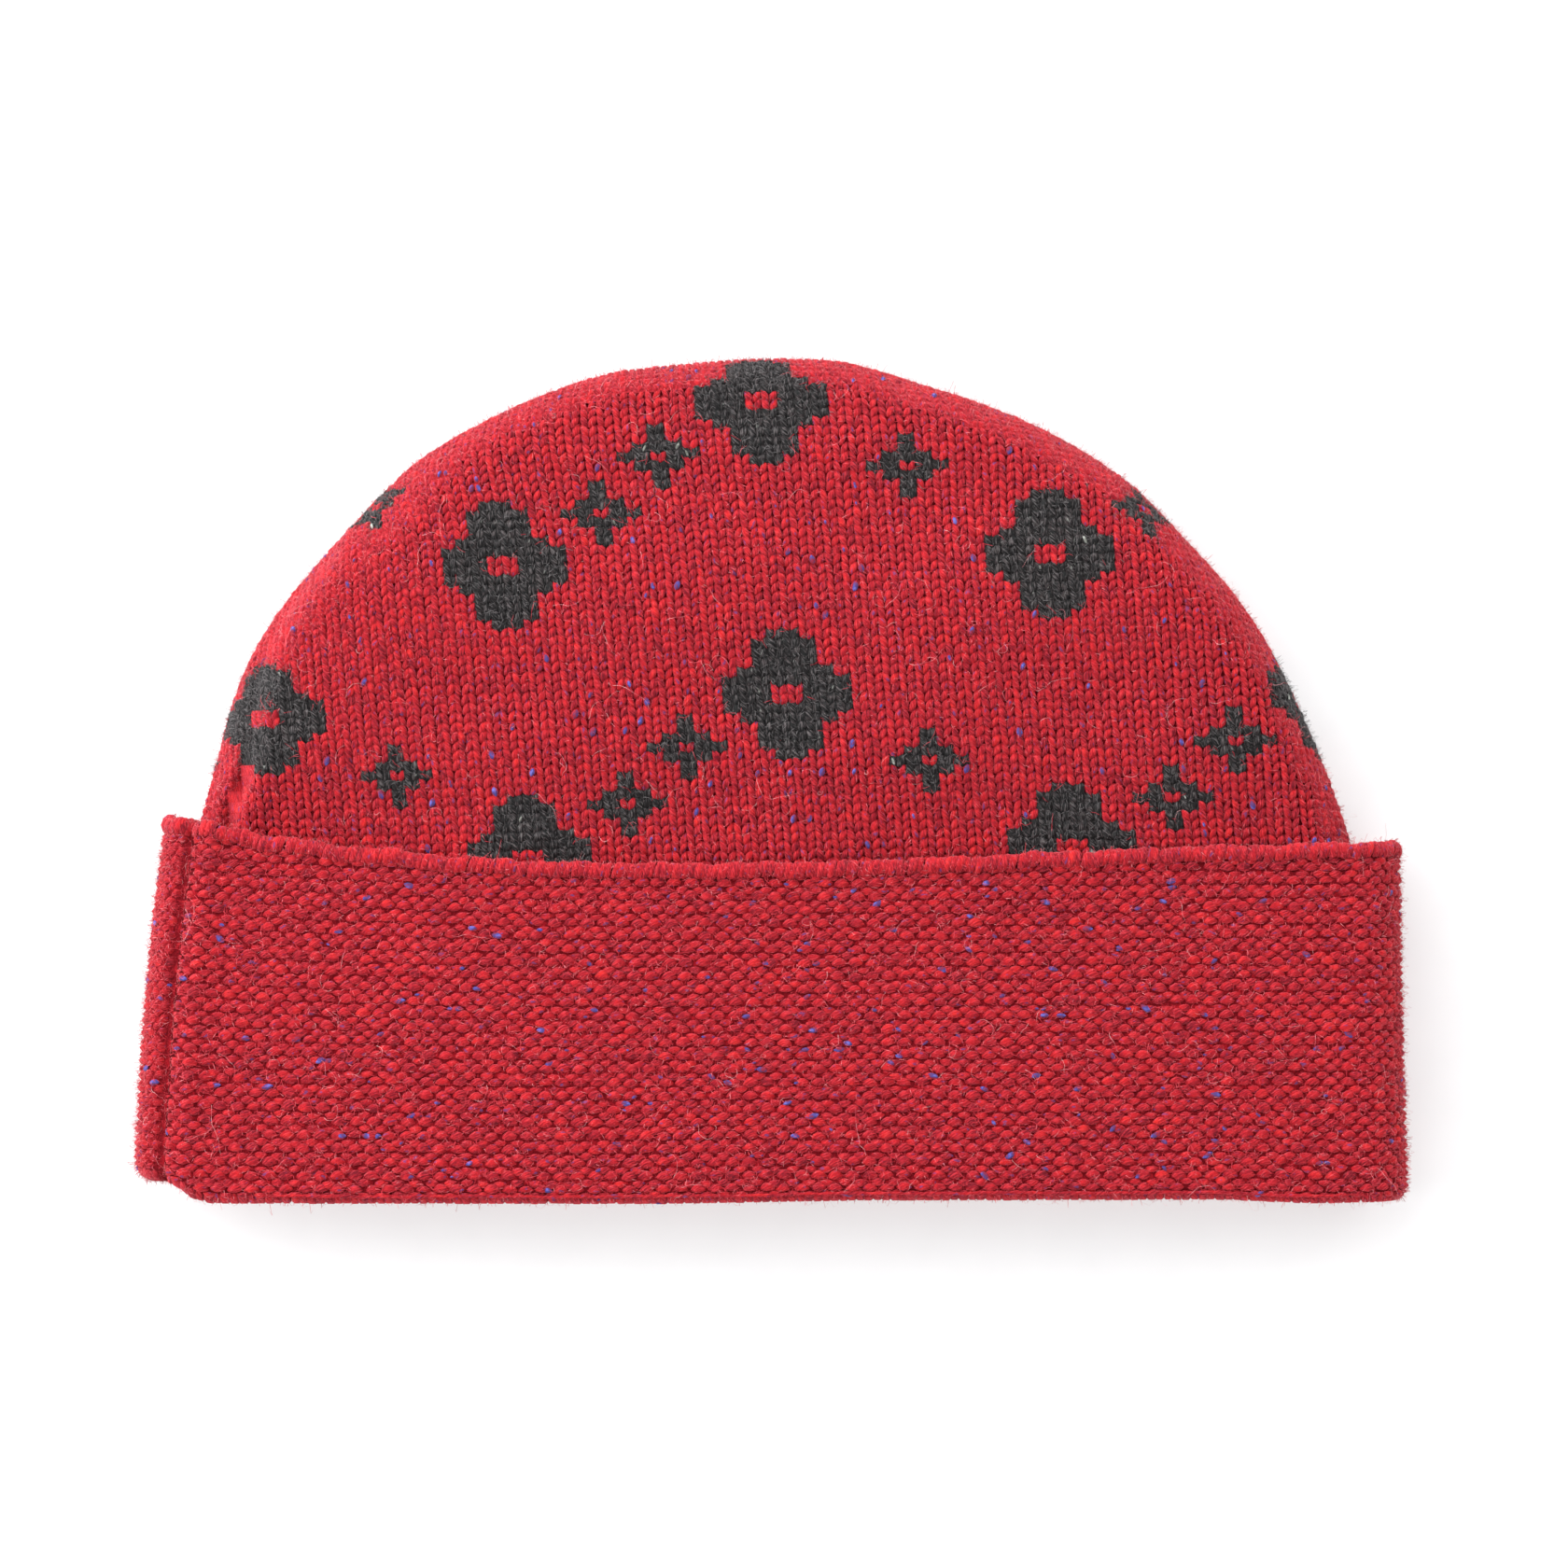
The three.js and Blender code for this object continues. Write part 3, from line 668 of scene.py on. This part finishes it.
def plain_stitch(layer, wale, row, x, y, along, across, fat=1):
    """The two slanting legs of each stitch of plain knitting."""
    count = len(x)
    t = np.linspace(0, 1, along + 1)[None]
    swell = np.sin(math.pi * t)
    stagger = knitting.normal(0, 0.055, (6, count, 1))
    strips = []
    for side, foot, tip, start in ((-1, 0.08, 0.43, 0), (1, 0.1, 0.42, 4)):
        thick = 1 + 0.09 * knitting.normal(0, 1, (count, 1))
        leg_x = x[:, None] + side * STITCH_WIDE * (foot + (tip - foot) * t) + stagger[0]
        leg_y = y[:, None] + STITCH_HIGH * (-0.68 + 1.44 * t) + stagger[1]
        lift = -1.1 + 0.56 * swell ** 0.8 + 0.05 * knitting.normal(0, 1, (count, 1))
        wide = 0.67 * thick * fat * (0.52 + 0.48 * swell ** 0.8)
        high = 0.52 * thick * (0.75 + 0.25 * swell)
        strips.append(lay_yarn(on_crown(layer), leg_x, leg_y, lift, wide, high, across,
                               wale * YARN_A_STITCH + start, row * YARN_A_ROW, flip=layer < 0))
    return strips


def carried_yarn(layer, wale, row, x, y, lift=-0.62):
    """Yarn behind the stitches, where the spare colour is carried, which closes the gaps between them."""
    t = np.linspace(-0.6, 0.6, 2)[None]
    px, py = x[:, None] + 0 * t, y[:, None] + STITCH_HIGH * t
    wide = np.full(px.shape, 0.56 * STITCH_WIDE)
    return [lay_yarn(on_crown(layer), px, py, np.full(px.shape, lift), wide, 0 * wide, 1,
                     wale * YARN_A_STITCH, row * YARN_A_ROW, flip=layer < 0)]


def knit_crown():
    """The crown's plain knitting with its motifs, over the front, round the rim and under the back."""
    wale, row, x, y, turn = crown_stitches(-24, -10)
    dark = chart_is_charcoal(wale, row)
    charcoal = plain_stitch(1, wale[dark], row[dark], x[dark], y[dark], 4, 3, fat=1.12)
    charcoal += carried_yarn(1, wale[dark], row[dark], x[dark], y[dark])
    for name, part in (("crown_front_left_knit", x < 0), ("crown_front_right_knit", x >= 0)):
        red = part & ~dark
        rim = red & (turn < 1.1)
        strips = plain_stitch(1, wale[red], row[red], x[red], y[red], 4, 3)
        strips += carried_yarn(1, wale[rim], row[rim], x[rim], y[rim], -0.4)
        knit_piece(name, strips, red_yarn, ["crown"])
    wale, row, x, y, turn = crown_stitches(-14, -2)
    dark = chart_is_charcoal(wale, row)
    charcoal += plain_stitch(-1, wale[dark], row[dark], x[dark], y[dark], 3, 2, fat=1.12)
    charcoal += carried_yarn(-1, wale[dark], row[dark], x[dark], y[dark])
    knit_piece("crown_motif_knit", charcoal, charcoal_yarn, ["crown"])
    rim = turn < math.radians(80)
    strips = plain_stitch(-1, wale[rim & ~dark], row[rim & ~dark], x[rim & ~dark], y[rim & ~dark], 4, 3)
    flat = ~rim & ~dark
    strips += plain_stitch(-1, wale[flat], row[flat], x[flat], y[flat], 3, 2)
    knit_piece("crown_under_knit", strips, red_yarn, ["crown"])


def purl_stitch(ring, up, wale, row, along, across):
    """The two arcs of each stitch on the wrong side of plain knitting: the loop's head and the link below."""
    count = len(ring)
    t = np.linspace(0, 1, along + 1)[None]
    swell = np.sin(math.pi * t)
    strips = []
    for right, down, reach, arch, thick, depth, start in (
            (0, 0, 0.43, 0.14, 0.86, -1.02, 0), (0.5, 0.48, 0.4, -0.1, 0.7, -1.12, 4)):
        fat = 1 + 0.09 * knitting.normal(0, 1, (count, 1))
        skew = 0.03 + 0.06 * knitting.normal(0, 1, (count, 1))
        shift = knitting.normal(0, 0.1, (2, count, 1))
        x = ring[:, None] + PURL_WIDE * (right + 2 * reach * (t - 0.5)) + shift[0]
        y = up[:, None] + PURL_HIGH * (-down + arch * (swell - 0.4) + skew * (t - 0.5)) + shift[1]
        lift = depth + 0.52 * swell ** 0.7 + 0.05 * knitting.normal(0, 1, (count, 1))
        wide = thick * fat * (0.3 + 0.7 * swell ** 0.8)
        strips.append(lay_yarn(on_cuff, x, y, lift, wide, 0.46 * fat * (0.6 + 0.4 * swell), across,
                               wale * YARN_A_STITCH + start, row * YARN_A_ROW + CUFF_YARN))
    return strips


def knit_cuff():
    """The turned-up cuff shows the wrong side: round the cap, over the fold and a little way up inside."""
    wale, row = np.meshgrid(np.arange(PURL_WALES), np.arange(*PURL_FROM_TO), indexing="ij")
    wale, row = wale.ravel().astype(float), row.ravel().astype(float)
    ring, up = SEAM_RING + (wale + 0.5) * PURL_WIDE, -row * PURL_HIGH
    ring = np.mod(ring, RING_LENGTH)
    top, _, span, drop = cuff_rows(ring, up)
    under_edge = top - drop < np.interp(ring, RING, RING_EDGE) - 1.5
    front = np.interp(ring, RING, RING_ANGLE) > 40
    outer = drop < span + FOLD_FROM
    inner = drop > span + FOLD_TO
    for name, kept, along, across in (
            ("cuff_front_knit", front & outer, 5, 4), ("cuff_back_knit", ~front & outer, 3, 2),
            ("cuff_inner_knit", inner, 4, 2)):
        kept = kept & (under_edge | (row > 5))
        knit_piece(name, purl_stitch(ring[kept], up[kept], wale[kept], row[kept], along, across), red_yarn,
                   ["cuff"])


def past_fold(ring, past):
    """How far up flat knitting lies that comes a given way past the start of the fold."""
    top, bend, span, _ = cuff_rows(np.mod(ring, RING_LENGTH), 0 * ring)
    level = top - np.minimum(bend, LEVEL_BEND)
    drop = span + past
    return -np.where(drop < level, drop * PURL_ROWS * PURL_HIGH / level, drop - level + PURL_ROWS * PURL_HIGH)


def turn_cuff_fold():
    """Upright stitches round the cuff's fold, below one thin strand along the front."""
    count = PURL_WALES * 2
    t = np.linspace(0, 1, 6)[None]
    swell = np.sin(math.pi * t) ** 0.4
    thick = 1 + 0.1 * knitting.normal(0, 1, (count, 1))
    x = (np.arange(count)[:, None] + 0.5) * RING_LENGTH / count + 0.3 * (t - 0.5)
    x = x + knitting.normal(0, 0.1, (count, 1))
    y = past_fold(x, FOLD_FROM + FOLD_STITCH * t + knitting.normal(0, 0.1, (count, 1)))
    lift = -0.8 + 0.2 * swell + 0.03 * knitting.normal(0, 1, (count, 1))
    strips = [lay_yarn(on_cuff, x, y, lift, 0.95 * thick * (0.6 + 0.4 * swell), 0.3 * thick * swell, 3,
                       np.arange(count) * 7.0, np.arange(count) * 13.0 + FOLD_YARN)]
    # The strand tapers out at both ends.
    strand_from = 14
    x = np.linspace(strand_from, CUFF_FLAT, 400)[None]
    y = past_fold(x, 1.25 + 0.08 * np.sin(x / 5) + 0.06 * np.sin(x / 1.3))
    slim = (0.3 + 0.04 * np.sin(x / 2.1)) * np.clip(np.minimum(x - strand_from, CUFF_FLAT - x) / 8, 0.05, 1)
    strips.append(lay_yarn(on_cuff, x, y, -0.28 + 0.06 * np.sin(x / 3.1), slim, 1.2 * slim, 3,
                           np.array([0.0]), np.array([float(STRAND_YARN)])))
    knit_piece("cuff_fold_knit", strips, red_yarn, ["cuff"])


def bind_cuff_edge():
    """Upright stitches over the cuff's bound edge."""
    count = PURL_WALES * 3
    place = (np.arange(count) + 0.5) * RING_LENGTH / count
    t = np.linspace(0, 1, 9)[None]
    slant = np.where(np.arange(count) % 2, 1, -1)[:, None]
    thick = 1 + 0.12 * knitting.normal(0, 1, (count, 1))
    x = place[:, None] + (1.3 + slant * 0.5) * (t - 0.3) + knitting.normal(0, 0.18, (count, 1))
    y = BOUND_ROUND * np.radians(-85 + 300 * t) + knitting.normal(0, 0.12, (count, 1))
    swell = 0.72 + 0.28 * np.sin(math.pi * t) ** 0.5
    lift = np.full(x.shape, -0.32) + 0.06 * knitting.normal(0, 1, (count, 1))
    strips = [lay_yarn(on_bound_edge, x, y, lift, 0.72 * thick * swell, 0.36 * thick * swell, 4,
                       np.arange(count) * 7.0, np.arange(count) * 13.0 + EDGE_YARN)]
    knit_piece("cuff_bound_edge_knit", strips, red_yarn, ["cuff_bound_edge"])


def sew_cuff_seam():
    """Short slanting stitches deep in the seam at the cuff's left end."""
    rows = np.arange(-4, 24)
    count = len(rows)
    t = np.linspace(0, 1, 6)[None]
    x = SEAM_RING + 1.5 * (t - 0.5) + np.zeros((count, 1))
    y = -rows[:, None] * PURL_HIGH + 1.5 * (t - 0.5)
    top, _, _, drop = cuff_rows(x[:, 0], y[:, 0])
    edge = np.interp(SEAM_RING, RING, RING_EDGE) - BOUND_HIGH
    kept = top - drop < edge - 0.5
    lift = -1.15 + 0.35 * np.sin(math.pi * t) + np.zeros((count, 1))
    wide = 0.5 * (0.6 + 0.4 * np.sin(math.pi * t)) + np.zeros((count, 1))
    strips = [lay_yarn(on_cuff, x[kept], y[kept], lift[kept], wide[kept], wide[kept], 4, rows[kept] * 6.0,
                       rows[kept] * 17.0 + SEAM_YARN)]
    knit_piece("cuff_seam_stitches", strips, red_yarn, ["cuff_seam"])


def line_crown():
    """The crown's inner wall, closed along the rim and open at the cuff."""
    build = bmesh.new()
    count = 160
    rim, inward = rim_points(count)
    centre = np.array([0.0, -20.0])
    turns = np.radians([0, 12, 26, 42, 60, 78, 90])
    shares = np.linspace(0.96, 0.04, 22)
    for depth in (CROWN_LINED, CROWN_WALL):
        edge = rim_round(rim[:, 0])
        flat_y = rim[:, 1] + edge * inward[:, 1]
        upper, lower = crown_top(rim[:, 0], flat_y), eased(CROWN_LEVELS, flat_y, 2)
        middle, half = (upper + lower) / 2, (upper - lower) / 2
        rings = []
        for layer in (1, -1):
            rows = []
            for turn in turns[1 if layer < 0 else 0:]:
                out = edge - (edge - depth) * math.cos(turn)
                level = middle + layer * (half - depth) * math.sin(turn)
                rows.append(np.c_[rim + inward * out[:, None], level])
            base = rim + inward * edge[:, None]
            for share in shares:
                plan = centre + (base - centre) * share
                top, bottom = crown_top(plan[:, 0], plan[:, 1]), eased(CROWN_LEVELS, plan[:, 1], 2)
                rows.append(np.c_[plan, top - depth if layer > 0 else bottom + depth])
            if layer > 0:
                for row in rows:
                    x, y = row[:, 0], row[:, 1]
                    row[:, 2] += soft_rise(x, y, near_rim(x, y)[0], edge, CREASE_LINED)
            rings.append(rows)
        rows = rings[0][::-1] + rings[1]
        grid = [[build.verts.new(p * MM) for p in row] for row in rows]
        for low, high in zip(grid, grid[1:]):
            for i in range(count):
                build.faces.new((low[i - 1], low[i], high[i], high[i - 1]))
        for row in (grid[0], grid[-1]):
            build.faces.new(row)
    cut = bmesh.ops.bisect_plane(build, geom=build.verts[:] + build.edges[:] + build.faces[:],
                                 plane_co=(0, CROWN_JOIN_Y * MM, 0), plane_no=(0, -1, 0), clear_outer=True)
    edges = [e for e in cut["geom_cut"] if isinstance(e, bmesh.types.BMEdge)]
    bmesh.ops.triangle_fill(build, edges=edges, use_beauty=True, normal=(0, -1, 0))
    bmesh.ops.triangulate(build, faces=[f for f in build.faces if len(f.verts) > 4])
    bmesh.ops.recalc_face_normals(build, faces=build.faces)
    yarn = build.loops.layers.uv.new("yarn")
    for face in build.faces:
        face.smooth = True
        for loop in face.loops:
            loop[yarn].uv = (loop.vert.co.x / MM, loop.vert.co.y / MM)
    mesh = bpy.data.meshes.new("crown_lining")
    build.to_mesh(mesh)
    build.free()
    dress_cap("crown_lining", mesh, inside_wool_painted_shade, ["crown"])


def line_cuff():
    """The cuff's two legs behind the stitches, as one closed ring."""
    stations = np.linspace(0, RING_LENGTH, 260, endpoint=False)
    across, angle = np.interp(stations, RING, RING_ACROSS), np.interp(stations, RING, RING_ANGLE)
    bend = np.interp(stations, RING, RING_BEND)
    top = np.interp(stations, RING, RING_EDGE) - BOUND_HIGH / 2
    outer, inner = CUFF_LINED, FOLD_THICK - 0.9
    leg_top = CROWN_JOIN_Y - 0.3
    valley = seam_valley(stations)
    outline = [(np.full(len(stations), outer), top + (bend - top) * t) for t in np.linspace(0, 1, 8)]
    for turn in np.radians([30, 60, 90, 120, 150]):
        outline.append((BEND - (BEND - outer) * np.cos(turn) * np.ones(len(stations)),
                        bend - (BEND - outer) * np.sin(turn)))
    # The inner leg leans in at its top, most round the cuff's ends, to meet the crown's rounder ends.
    lean = 0.9 + 3.3 * np.sqrt(np.abs(np.cos(np.radians(angle))))
    outline += [(inner + lean * t ** 4, bend + (leg_top - bend) * t) for t in np.linspace(0, 1, 7)]
    outline += [(np.full(len(stations), LEG_WALL + LEG_GAP), leg_top + (bend - leg_top) * t)
                for t in np.linspace(0, 1, 4)]
    outline += [(np.full(len(stations), BEND), bend - 0.2)]
    outline += [(np.full(len(stations), LEG_WALL), bend + (top - bend) * t) for t in np.linspace(0, 1, 4)]
    # The seam's furrow runs down the outer leg and into the fold.
    rings = []
    for step, (deep, y) in enumerate(outline):
        deep = np.minimum(deep + valley, np.maximum(deep, SEAM_LINED)) if step < 10 else deep
        rings.append(cuff_point(across, angle, deep, y))
    grid = np.stack(rings, 0)
    high, wide = grid.shape[:2]
    corner = np.arange(high * wide).reshape(high, wide)
    after = np.roll(corner, -1, axis=1)
    below, below_after = np.roll(corner, -1, axis=0), np.roll(after, -1, axis=0)
    faces = np.stack([corner, below, below_after, after], -1).reshape(-1, 4)
    walked = np.stack(np.broadcast_arrays(stations[None], np.arange(high)[:, None] * 5.0), -1)
    make_piece("cuff_lining", grid.reshape(-1, 3), faces, walked.reshape(-1, 2), inside_wool_painted_shade,
               ["cuff"])


def tufts(place, x, y, heading, length, width, lift, run):
    """Small tufts of fibre lying on the knitting."""
    t = np.linspace(-1, 1, 6)[None]
    round_off = np.sqrt(np.clip(1 - t ** 2, 0.02, 1))
    along = t * length[:, None] / 2
    px = x[:, None] + along * np.cos(heading)[:, None]
    py = y[:, None] + along * np.sin(heading)[:, None]
    wide = width[:, None] / 2 * round_off
    return [lay_yarn(place, px, py, lift[:, None] + 0 * t, wide, wide * 0.75, 4, run, run * 3)]


def scatter_neps():
    """Blue-violet neps spun into the red yarn, and a few white ones in the charcoal."""
    wale, row, x, y, _ = crown_stitches(-18, -20)
    dark = chart_is_charcoal(wale, row)
    for name, kept, count, lean, long, wide, deep, deeper, material in (
            ("crown_violet_neps", ~dark, 260, 0.3, 1.8, 1.1, 0.2, 0.25, violet_nep),
            ("crown_white_neps", dark, 30, 0.4, 1.5, 0.6, 0.16, 0.24, white_nep)):
        picked = knitting.permutation(np.flatnonzero(kept))[:count]
        small = knitting.uniform(0.5, 1, count) ** 1.5
        side = np.where(knitting.random(count) < 0.5, -1, 1)
        strips = tufts(on_crown(1), x[picked] + side * 0.26 * STITCH_WIDE, y[picked],
                       math.pi / 2 - side * lean, long * small, wide * small,
                       -deep - deeper * knitting.random(count), picked * 5.0)
        knit_piece(name, strips, material, ["crown"])
    count = 540
    wale = knitting.integers(0, PURL_WALES, count)
    ring = (wale + 0.5 * knitting.integers(0, 2, count)) * PURL_WIDE + 0.5 * PURL_WIDE
    up = -knitting.integers(0, 50, count) / 2 * PURL_HIGH
    small = knitting.uniform(0.5, 1, count) ** 1.5
    strips = tufts(on_cuff, ring, up, knitting.normal(0, 0.3, count), 2.2 * small, 1.1 * small,
                   -0.3 - 0.25 * knitting.random(count), np.arange(count) * 5.0)
    knit_piece("cuff_violet_neps", strips, violet_nep, ["cuff"])


def stray_hairs(place, x, y, kind):
    """Loose hairs, as narrow ribbons that leave the yarn, stand off it and curl back."""
    long, stand, thin = kind
    count = len(x)
    t = np.linspace(0, 1, 3 if long < 2 else 9)[None]
    bends = knitting.normal(0, 0.35, (count, t.shape[1])) + knitting.normal(0, 0.3, (count, 1))
    heading = knitting.uniform(0, 2 * math.pi, (count, 1)) + np.cumsum(bends, axis=1)
    step = long * knitting.gamma(4, 0.25, (count, 1)) / (t.shape[1] - 1)
    px = x[:, None] + np.cumsum(np.cos(heading) * step, axis=1)
    py = y[:, None] + np.cumsum(np.sin(heading) * step, axis=1)
    lift = -0.35 + stand * knitting.gamma(2, 0.5, (count, 1)) * np.sin(math.pi * np.clip(t * 0.8, 0, 1))
    narrow = thin * (1 - 0.6 * t) + 0 * px
    return [lay_yarn(place, px, py, lift, narrow, narrow, 1, np.arange(count) * 9.0, np.arange(count) * 2.0)]


def fuzz_cap():
    """A close short fuzz over all that shows from above, and some longer hairs."""
    wale, row, x, y, turn = crown_stitches(-14, -25)
    dark = chart_is_charcoal(wale, row)
    for name, kept, count, material in (("crown_short_fuzz", ~dark, 24000, red_fuzz),
                                        ("motif_short_fuzz", dark, 6500, grey_fuzz)):
        picked = np.flatnonzero(kept)
        closer = np.where(turn[picked] < 1.2, 3.5, 1)
        picked = knitting.choice(picked, count, p=closer / closer.sum())
        strips = stray_hairs(on_crown(1), x[picked] + knitting.uniform(-1.4, 1.4, count),
                             y[picked] + knitting.uniform(-0.8, 0.8, count), SHORT_FUZZ)
        knit_piece(name, strips, material, ["crown"])
    picked = knitting.choice(np.flatnonzero(~dark), 200)
    strips = stray_hairs(on_crown(1), x[picked], y[picked], LONG_HAIR)
    knit_piece("crown_long_hairs", strips, pale_hair, ["crown"])
    # Round the cuff, with more over its front and more again at its two ends.
    end = CUFF_END_ROUND * math.pi / 2
    ring = np.r_[knitting.uniform(0, RING_LENGTH, 17000), knitting.uniform(0, CUFF_FLAT, 17000),
                 knitting.uniform(CUFF_FLAT, CUFF_FLAT + 2 * end, 3000), knitting.uniform(-2 * end, 0, 4000)]
    ring, down = np.mod(ring, RING_LENGTH), knitting.uniform(-3, FUZZY_ROWS, len(ring)) * PURL_HIGH
    top, _, _, drop = cuff_rows(ring, -down)
    under = top - drop < np.interp(ring, RING, RING_EDGE) - 1.8
    strips = stray_hairs(on_cuff, ring[under], -down[under], SHORT_FUZZ)
    knit_piece("cuff_short_fuzz", strips, red_fuzz, ["cuff"])
    ring, down = knitting.uniform(0, RING_LENGTH, 400), knitting.uniform(0, FUZZY_ROWS, 400) * PURL_HIGH
    strips = stray_hairs(on_cuff, ring, -down, LONG_HAIR)
    knit_piece("cuff_long_hairs", strips, pale_hair, ["cuff"])
    ring, over = knitting.uniform(0, RING_LENGTH, 9000), knitting.uniform(-2.2, 4, 9000)
    strips = stray_hairs(on_bound_edge, ring, over, EDGE_FUZZ)
    knit_piece("cuff_bound_edge_fuzz", strips, red_fuzz, ["cuff_bound_edge"])


# Camera straight above, as far off as a 100 mm lens needs for a 283 mm wide view at the height of the rims.
VIEW_WIDE = 283.1
VIEW_HEIGHT = 12
VIEW_MIDDLE = (2.27, -0.76)
LENS_LONG = 100
SENSOR_WIDE = 36
lens = bpy.data.cameras.new("camera")
lens.lens = LENS_LONG
lens.sensor_width = SENSOR_WIDE
camera = show("camera", lens)
camera.location = (VIEW_MIDDLE[0] * MM, VIEW_MIDDLE[1] * MM,
                   (VIEW_HEIGHT + VIEW_WIDE * LENS_LONG / SENSOR_WIDE) * MM)
bpy.context.scene.camera = camera
bpy.context.scene.view_settings.view_transform = "Standard"

knit_crown()
knit_cuff()
turn_cuff_fold()
bind_cuff_edge()
sew_cuff_seam()
line_crown()
line_cuff()
scatter_neps()
fuzz_cap()

# Floor.
floor_mesh = bpy.data.meshes.new("floor")
floor_mesh.from_pydata([(-4, -4, 0), (4, -4, 0), (4, 4, 0), (-4, 4, 0)], [], [(0, 1, 2, 3)])
floor_mesh.materials.append(white_sheet)
floor = show("floor", floor_mesh)

# Two broad soft lamps, one beyond the crown's top at the left and one lower at the left.
LAMPS = [("soft_box_top", (-0.4, 0.6, 0.75), 8.6), ("soft_box_side", (-0.85, 0.15, 0.4), 10)]
for name, place, power in LAMPS:
    light = bpy.data.lights.new(name, "AREA")
    light.size = 1
    light.energy = power
    lamp = show(name, light)
    lamp.location = place
    lamp.rotation_euler = (-lamp.location).to_track_quat("-Z", "Y").to_euler()

# A room with white walls, which are lighter low down and beyond the crown's top.
world = bpy.data.worlds.new("white_room")
world.use_nodes = True
tree = world.node_tree
sky = add(tree, "ShaderNodeTexCoord").outputs["Generated"]
height = add(tree, "ShaderNodeSeparateXYZ", {"Vector": sky}).outputs["Z"]
pale = add(tree, "ShaderNodeMapRange", {"Value": height, "To Min": 3, "To Max": 0.22}).outputs[0]
lighter = add(tree, "ShaderNodeVectorMath", {0: sky, 1: (0, 0.4, 0)}, operation="DOT_PRODUCT")
walls = add(tree, "ShaderNodeMath", {0: pale, 1: lighter.outputs["Value"], 2: pale},
            operation="MULTIPLY_ADD")
paint = tree.nodes["Background"]
paint.inputs["Color"].default_value = (1, 1, 1, 1)
tree.links.new(walls.outputs[0], paint.inputs["Strength"])
bpy.context.scene.world = world
